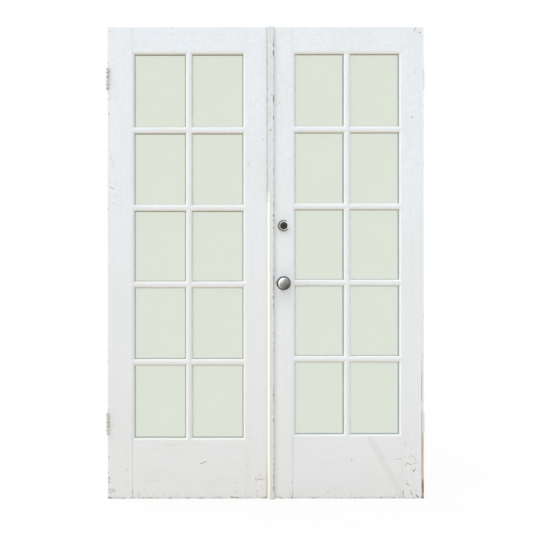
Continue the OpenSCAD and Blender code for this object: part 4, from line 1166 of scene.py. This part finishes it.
class DOORS_OT_knobs(bpy.types.Operator):
    """Turns both knobs and their roses"""
    bl_idname = "doors.knobs"
    bl_label = "Knobs and roses"

    def execute(self, context):
        look = context.scene.doors_hardware
        for end, way, face in (("front", -1, FRONT_Y), ("back", 1, BACK_Y)):
            name, rose = f"knob_{end}", f"rose_{end}"
            low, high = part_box(rose)
            centre, rose_r = round_place(rose, face)
            radius = round_place(name, face)[1]
            reach = max(abs(corner.y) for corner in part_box(name)) - abs(face)
            knob = turned(f"{name}_turned", centre, way, self.knob_rings(radius, reach), look.sides)
            nickel = knob_finish(f"{name}_nickel", centre, radius)
            settle(shaded(knob), nickel, "knobs", (name,))
            plate = turned(f"{rose}_turned", centre, way, self.rose_rings(rose_r, high.y - low.y),
                           look.sides, ring_shaped=True)
            tarnished = rose_finish(f"{rose}_nickel", centre, rose_r)
            settle(shaded(plate), tarnished, "right_door", (rose,))
        return {"FINISHED"}

    def knob_rings(self, radius, reach):
        """Neck, flare, rounded head and dimpled dome, from the leaf's face outwards."""
        neck_r, edge_r, head, dome_r, dimple_r = 0.011, 0.009, 0.033, 0.062, 0.0035
        neck, flare = 0.012, 0.0055
        back = reach - head
        rings = [(neck_r, 0.0)]
        rings += [(neck_r + flare * (step / 8) ** 2, neck + (back - neck + 0.0002) * step / 8)
                  for step in range(9)]
        rings += arc(radius - edge_r, back + edge_r, edge_r, -88, 0, 10)
        dome_d = reach - dome_r
        rings += [(r, d) for r, d in arc(radius - edge_r, reach - edge_r, edge_r, 0, 90, 24)
                  if math.hypot(r, d - dome_d) < dome_r - 0.0004]
        last = rings[-1][0] - 0.0009
        for step in range(15):
            r = last + (dimple_r - last) * step / 14
            rings.append((r, dome_d + math.sqrt(dome_r ** 2 - r ** 2)))
        return rings + [(dimple_r * 0.8, reach - 0.0012), (dimple_r * 0.45, reach - 0.0017),
                        (dimple_r * 0.1, reach - 0.0018)]

    def rose_rings(self, radius, rise):
        """A shallow dome with a rolled rim, and its hole for the knob's neck."""
        hole, rim = 0.0112, 0.0025
        rings = [(radius - 0.0003, 0.0), (radius, 0.0006), (radius, rim * 0.7),
                 (radius - 0.0005, rim * 1.05)]
        for step in range(1, 13):
            t = step / 12
            r = radius - 0.0005 + (hole + 0.0008 - radius) * t
            rings.append((r, rim * 1.05 + (rise - rim * 1.05) * math.sin(math.radians(90 * t))))
        return rings + [(hole, rise - 0.0006), (hole, 0.0), (radius - 0.0003, 0.0)]


class DOORS_OT_deadbolt(bpy.types.Operator):
    """Turns the deadbolt's collar and cylinder, and finishes its plug and thumbturn"""
    bl_idname = "doors.deadbolt"
    bl_label = "Deadbolt"

    def execute(self, context):
        look = context.scene.doors_hardware
        nickel = metal_finish("satin_nickel", look.clean_nickel_and_highlight_colour, look.nickel_colour, 0.30)
        centre, radius = round_place("deadbolt_collar", FRONT_Y)
        stand = FRONT_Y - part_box("deadbolt_collar")[0].y
        cylinder_r, plug_r = (round_place(node, FRONT_Y)[1] for node in ("lock_cylinder", "key_plug"))
        rings = self.collar_rings(radius, stand, cylinder_r)
        collar = turned("deadbolt_collar_turned", centre, -1, rings, look.sides, ring_shaped=True)
        collar_metal = collar_finish("collar_metal", centre, radius)
        settle(shaded(collar), collar_metal, "right_door", ("deadbolt_collar",))

        dark = metal_finish("cylinder_face", look.cylinder_colour, look.cylinder_colour, 0.45,
                            metallic=0.0)
        rings = self.cylinder_rings(cylinder_r, plug_r)
        cylinder = turned("lock_cylinder_turned", centre, -1, rings, look.sides, ring_shaped=True)
        settle(shaded(cylinder), dark, "right_door", ("lock_cylinder",))

        plug_metal = metal_finish("plug_metal", look.plug_colour, look.cylinder_colour, 0.4, spots=0.3)
        for node, width, metal, body, slot in (
                ("key_plug", 0.00025, plug_metal, "plug", "plated_steel"),
                ("thumbturn", 0.0012, nickel, "thumb_turn", "satin_nickel"),
                ("thumbturn_rose", 0.0010, nickel, "right_door", "satin_nickel")):
            settle(eased_copy(node, width), metal, body, (node,))
        return {"FINISHED"}

    def cylinder_rings(self, radius, plug_r):
        """The cylinder's ring round its plug, with both front edges broken."""
        low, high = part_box("lock_cylinder")
        face, back = FRONT_Y - low.y, FRONT_Y - high.y
        outer, bore = radius - 0.0001, plug_r + 0.0002
        return [(outer, back), (outer, face - 0.0009), (radius - 0.0004, face - 0.0003),
                (radius - 0.0010, face), (plug_r + 0.0006, face), (bore, face - 0.0004),
                (bore, back), (outer, back)]

    def collar_rings(self, radius, stand, cylinder_r):
        """A tapered collar with a rounded front lip round the cylinder."""
        front_r, lip_r, bore = 0.0195, 0.0012, cylinder_r + 0.0001
        rings = [(radius - 0.0002, 0.0), (radius, 0.0005), (radius - 0.0004, 0.0018)]
        rings += [(front_r + 0.0001, stand - 0.0018)]
        rings += arc(front_r - lip_r, stand - lip_r, lip_r, 10, 90, 6)
        rings += [(bore + 0.0006, stand), (bore, stand - 0.0006), (bore, 0.0), (radius - 0.0002, 0.0)]
        return rings


class DOORS_OT_bolts(bpy.types.Operator):
    """Finishes the bolts, face plates, strikes and the hidden parts of the locks"""
    bl_idname = "doors.bolts"
    bl_label = "Bolts and plates"

    def execute(self, context):
        nickel = bpy.data.materials["satin_nickel"]
        steel = bpy.data.materials["screw_steel"]
        eased = {
            "latch_faceplate": ("right_door", nickel, "satin_nickel", STRIKE_ARRIS),
            "deadbolt_faceplate": ("right_door", nickel, "satin_nickel", STRIKE_ARRIS),
            "latch_strike": ("left_door", steel, "plated_steel", STRIKE_ARRIS),
            "deadbolt_strike": ("left_door", steel, "plated_steel", STRIKE_ARRIS),
            "latch_bolt": ("latch", steel, "plated_steel", 0.0005),
            "deadbolt_bolt": ("deadbolt", steel, "plated_steel", 0.0008),
        }
        for node, (body, metal, slot, width) in eased.items():
            settle(eased_copy(node, width), metal, body, (node,))
        for node in ("faceplate_screws", "strike_screws", "spindle", "latch_case", "deadbolt_case",
                     "tailpiece"):
            finish_node(node, steel)
        return {"FINISHED"}


class DOORS_OT_stage(bpy.types.Operator):
    """Lays the floor, sets the lights and places the camera"""
    bl_idname = "doors.stage"
    bl_label = "Stage"

    def execute(self, context):
        stage = context.scene.doors_stage
        context.scene.view_settings.view_transform = "Standard"
        self.floor(stage)
        self.sky(context.scene, stage)
        self.lamp("key", stage.key_strength, stage.key_spread, KEY_WAY)
        self.lamp("top", stage.top_strength, stage.top_spread, UP)
        self.camera(context.scene, stage)
        return {"FINISHED"}

    def floor(self, stage):
        """A floor that looks pure white where it is lit, and keeps the doors' shadow."""
        bpy.ops.object.select_all(action="DESELECT")
        bpy.ops.mesh.primitive_plane_add(size=stage.floor_size, location=(0, 0, 0))
        floor = bpy.context.object
        floor.name = "stage_floor"
        f = Finish("stage_floor")
        seen = f.seen_directly()
        shade = (stage.floor_shade,) * 3
        lamps = stage.key_strength * KEY_WAY.z + stage.top_strength
        lit = 1 - stage.floor_shade * (stage.sky + lamps / math.pi)
        f.surface(f.mixed(seen, stage.floor_colour, shade), 1.0, Specular_IOR_Level=0.0,
                  Emission_Color=f.mixed(seen, BLACK, WHITE), Emission_Strength=lit)
        painted(floor, f.material)

    def sky(self, scene, stage):
        """Even cool white light on the doors, and plain white where the sky itself is seen."""
        world = bpy.data.worlds.new("studio")
        world.use_nodes = True
        nodes = Nodes(world.node_tree)
        even = nodes.node("ShaderNodeBackground", {}, {"Color": SKY_COLOUR, "Strength": stage.sky})
        plain = nodes.node("ShaderNodeBackground", {}, {"Color": WHITE, "Strength": 1.0})
        both = nodes.node("ShaderNodeMixShader", {}, {
            0: nodes.seen_directly(), 1: even.outputs[0], 2: plain.outputs[0]})
        nodes.node("ShaderNodeOutputWorld", {}, {0: both.outputs[0]})
        scene.world = world

    def lamp(self, name, strength, angle, way):
        """A broad far lamp that shines from that way."""
        light = bpy.data.lights.new(name, "SUN")
        light.energy = strength
        light.angle = angle
        lamp = bpy.data.objects.new(name, light)
        bpy.context.scene.collection.objects.link(lamp)
        lamp.rotation_euler = way.to_track_quat("Z", "Y").to_euler()

    def camera(self, scene, stage):
        """Level camera square to the doors, facing a point left of and above the picture's middle."""
        image_px = 533.0
        centre_px = image_px / 2
        axis_px = (226.0, 235.0)
        middle_px, foot_px = 265.75, 498.6
        roll = math.radians(0.03)
        lens = bpy.data.cameras.new("camera")
        lens.sensor_width = 36.0
        lens.lens = lens.sensor_width * stage.camera_distance / (stage.pixel * image_px)
        lens.shift_x = (centre_px - axis_px[0]) / image_px
        lens.shift_y = (axis_px[1] - centre_px) / image_px
        camera = bpy.data.objects.new("camera", lens)
        scene.collection.objects.link(camera)
        camera.location = ((axis_px[0] - middle_px) * stage.pixel, FRONT_Y - stage.camera_distance,
                           (foot_px - axis_px[1]) * stage.pixel)
        camera.rotation_euler = (math.pi / 2, roll, 0)
        scene.camera = camera


GROUPS = {
    "doors_paint": DoorsPaint,
    "doors_astragal": DoorsAstragal,
    "doors_glass": DoorsGlass,
    "doors_hardware": DoorsHardware,
    "doors_stage": DoorsStage,
}
OPERATORS = (
    DOORS_OT_stage, DOORS_OT_woodwork, DOORS_OT_edge_strip, DOORS_OT_astragal, DOORS_OT_glass,
    DOORS_OT_hinges, DOORS_OT_knobs, DOORS_OT_deadbolt, DOORS_OT_bolts,
)


class DOORS_PT_panel(bpy.types.Panel):
    """Lists the steps and the settings of the doors"""
    bl_idname = "DOORS_PT_panel"
    bl_label = "French doors"
    bl_space_type = "VIEW_3D"
    bl_region_type = "UI"
    bl_category = "Doors"

    def draw(self, context):
        for operator in OPERATORS:
            self.layout.operator(operator.bl_idname)
        for name, group in GROUPS.items():
            box = self.layout.box()
            box.label(text=group.__doc__)
            for key in group.__annotations__:
                box.prop(getattr(context.scene, name), key)


def register():
    for name, group in GROUPS.items():
        bpy.utils.register_class(group)
        setattr(bpy.types.Scene, name, PointerProperty(type=group))
    for item in OPERATORS + (DOORS_PT_panel,):
        bpy.utils.register_class(item)


def unregister():
    for item in (DOORS_PT_panel,) + OPERATORS[::-1]:
        bpy.utils.unregister_class(item)
    for name, group in GROUPS.items():
        delattr(bpy.types.Scene, name)
        bpy.utils.unregister_class(group)


def main():
    register()
    for operator in OPERATORS:
        group, name = operator.bl_idname.split(".")
        getattr(getattr(bpy.ops, group), name)()


if __name__ == "__main__":
    main()
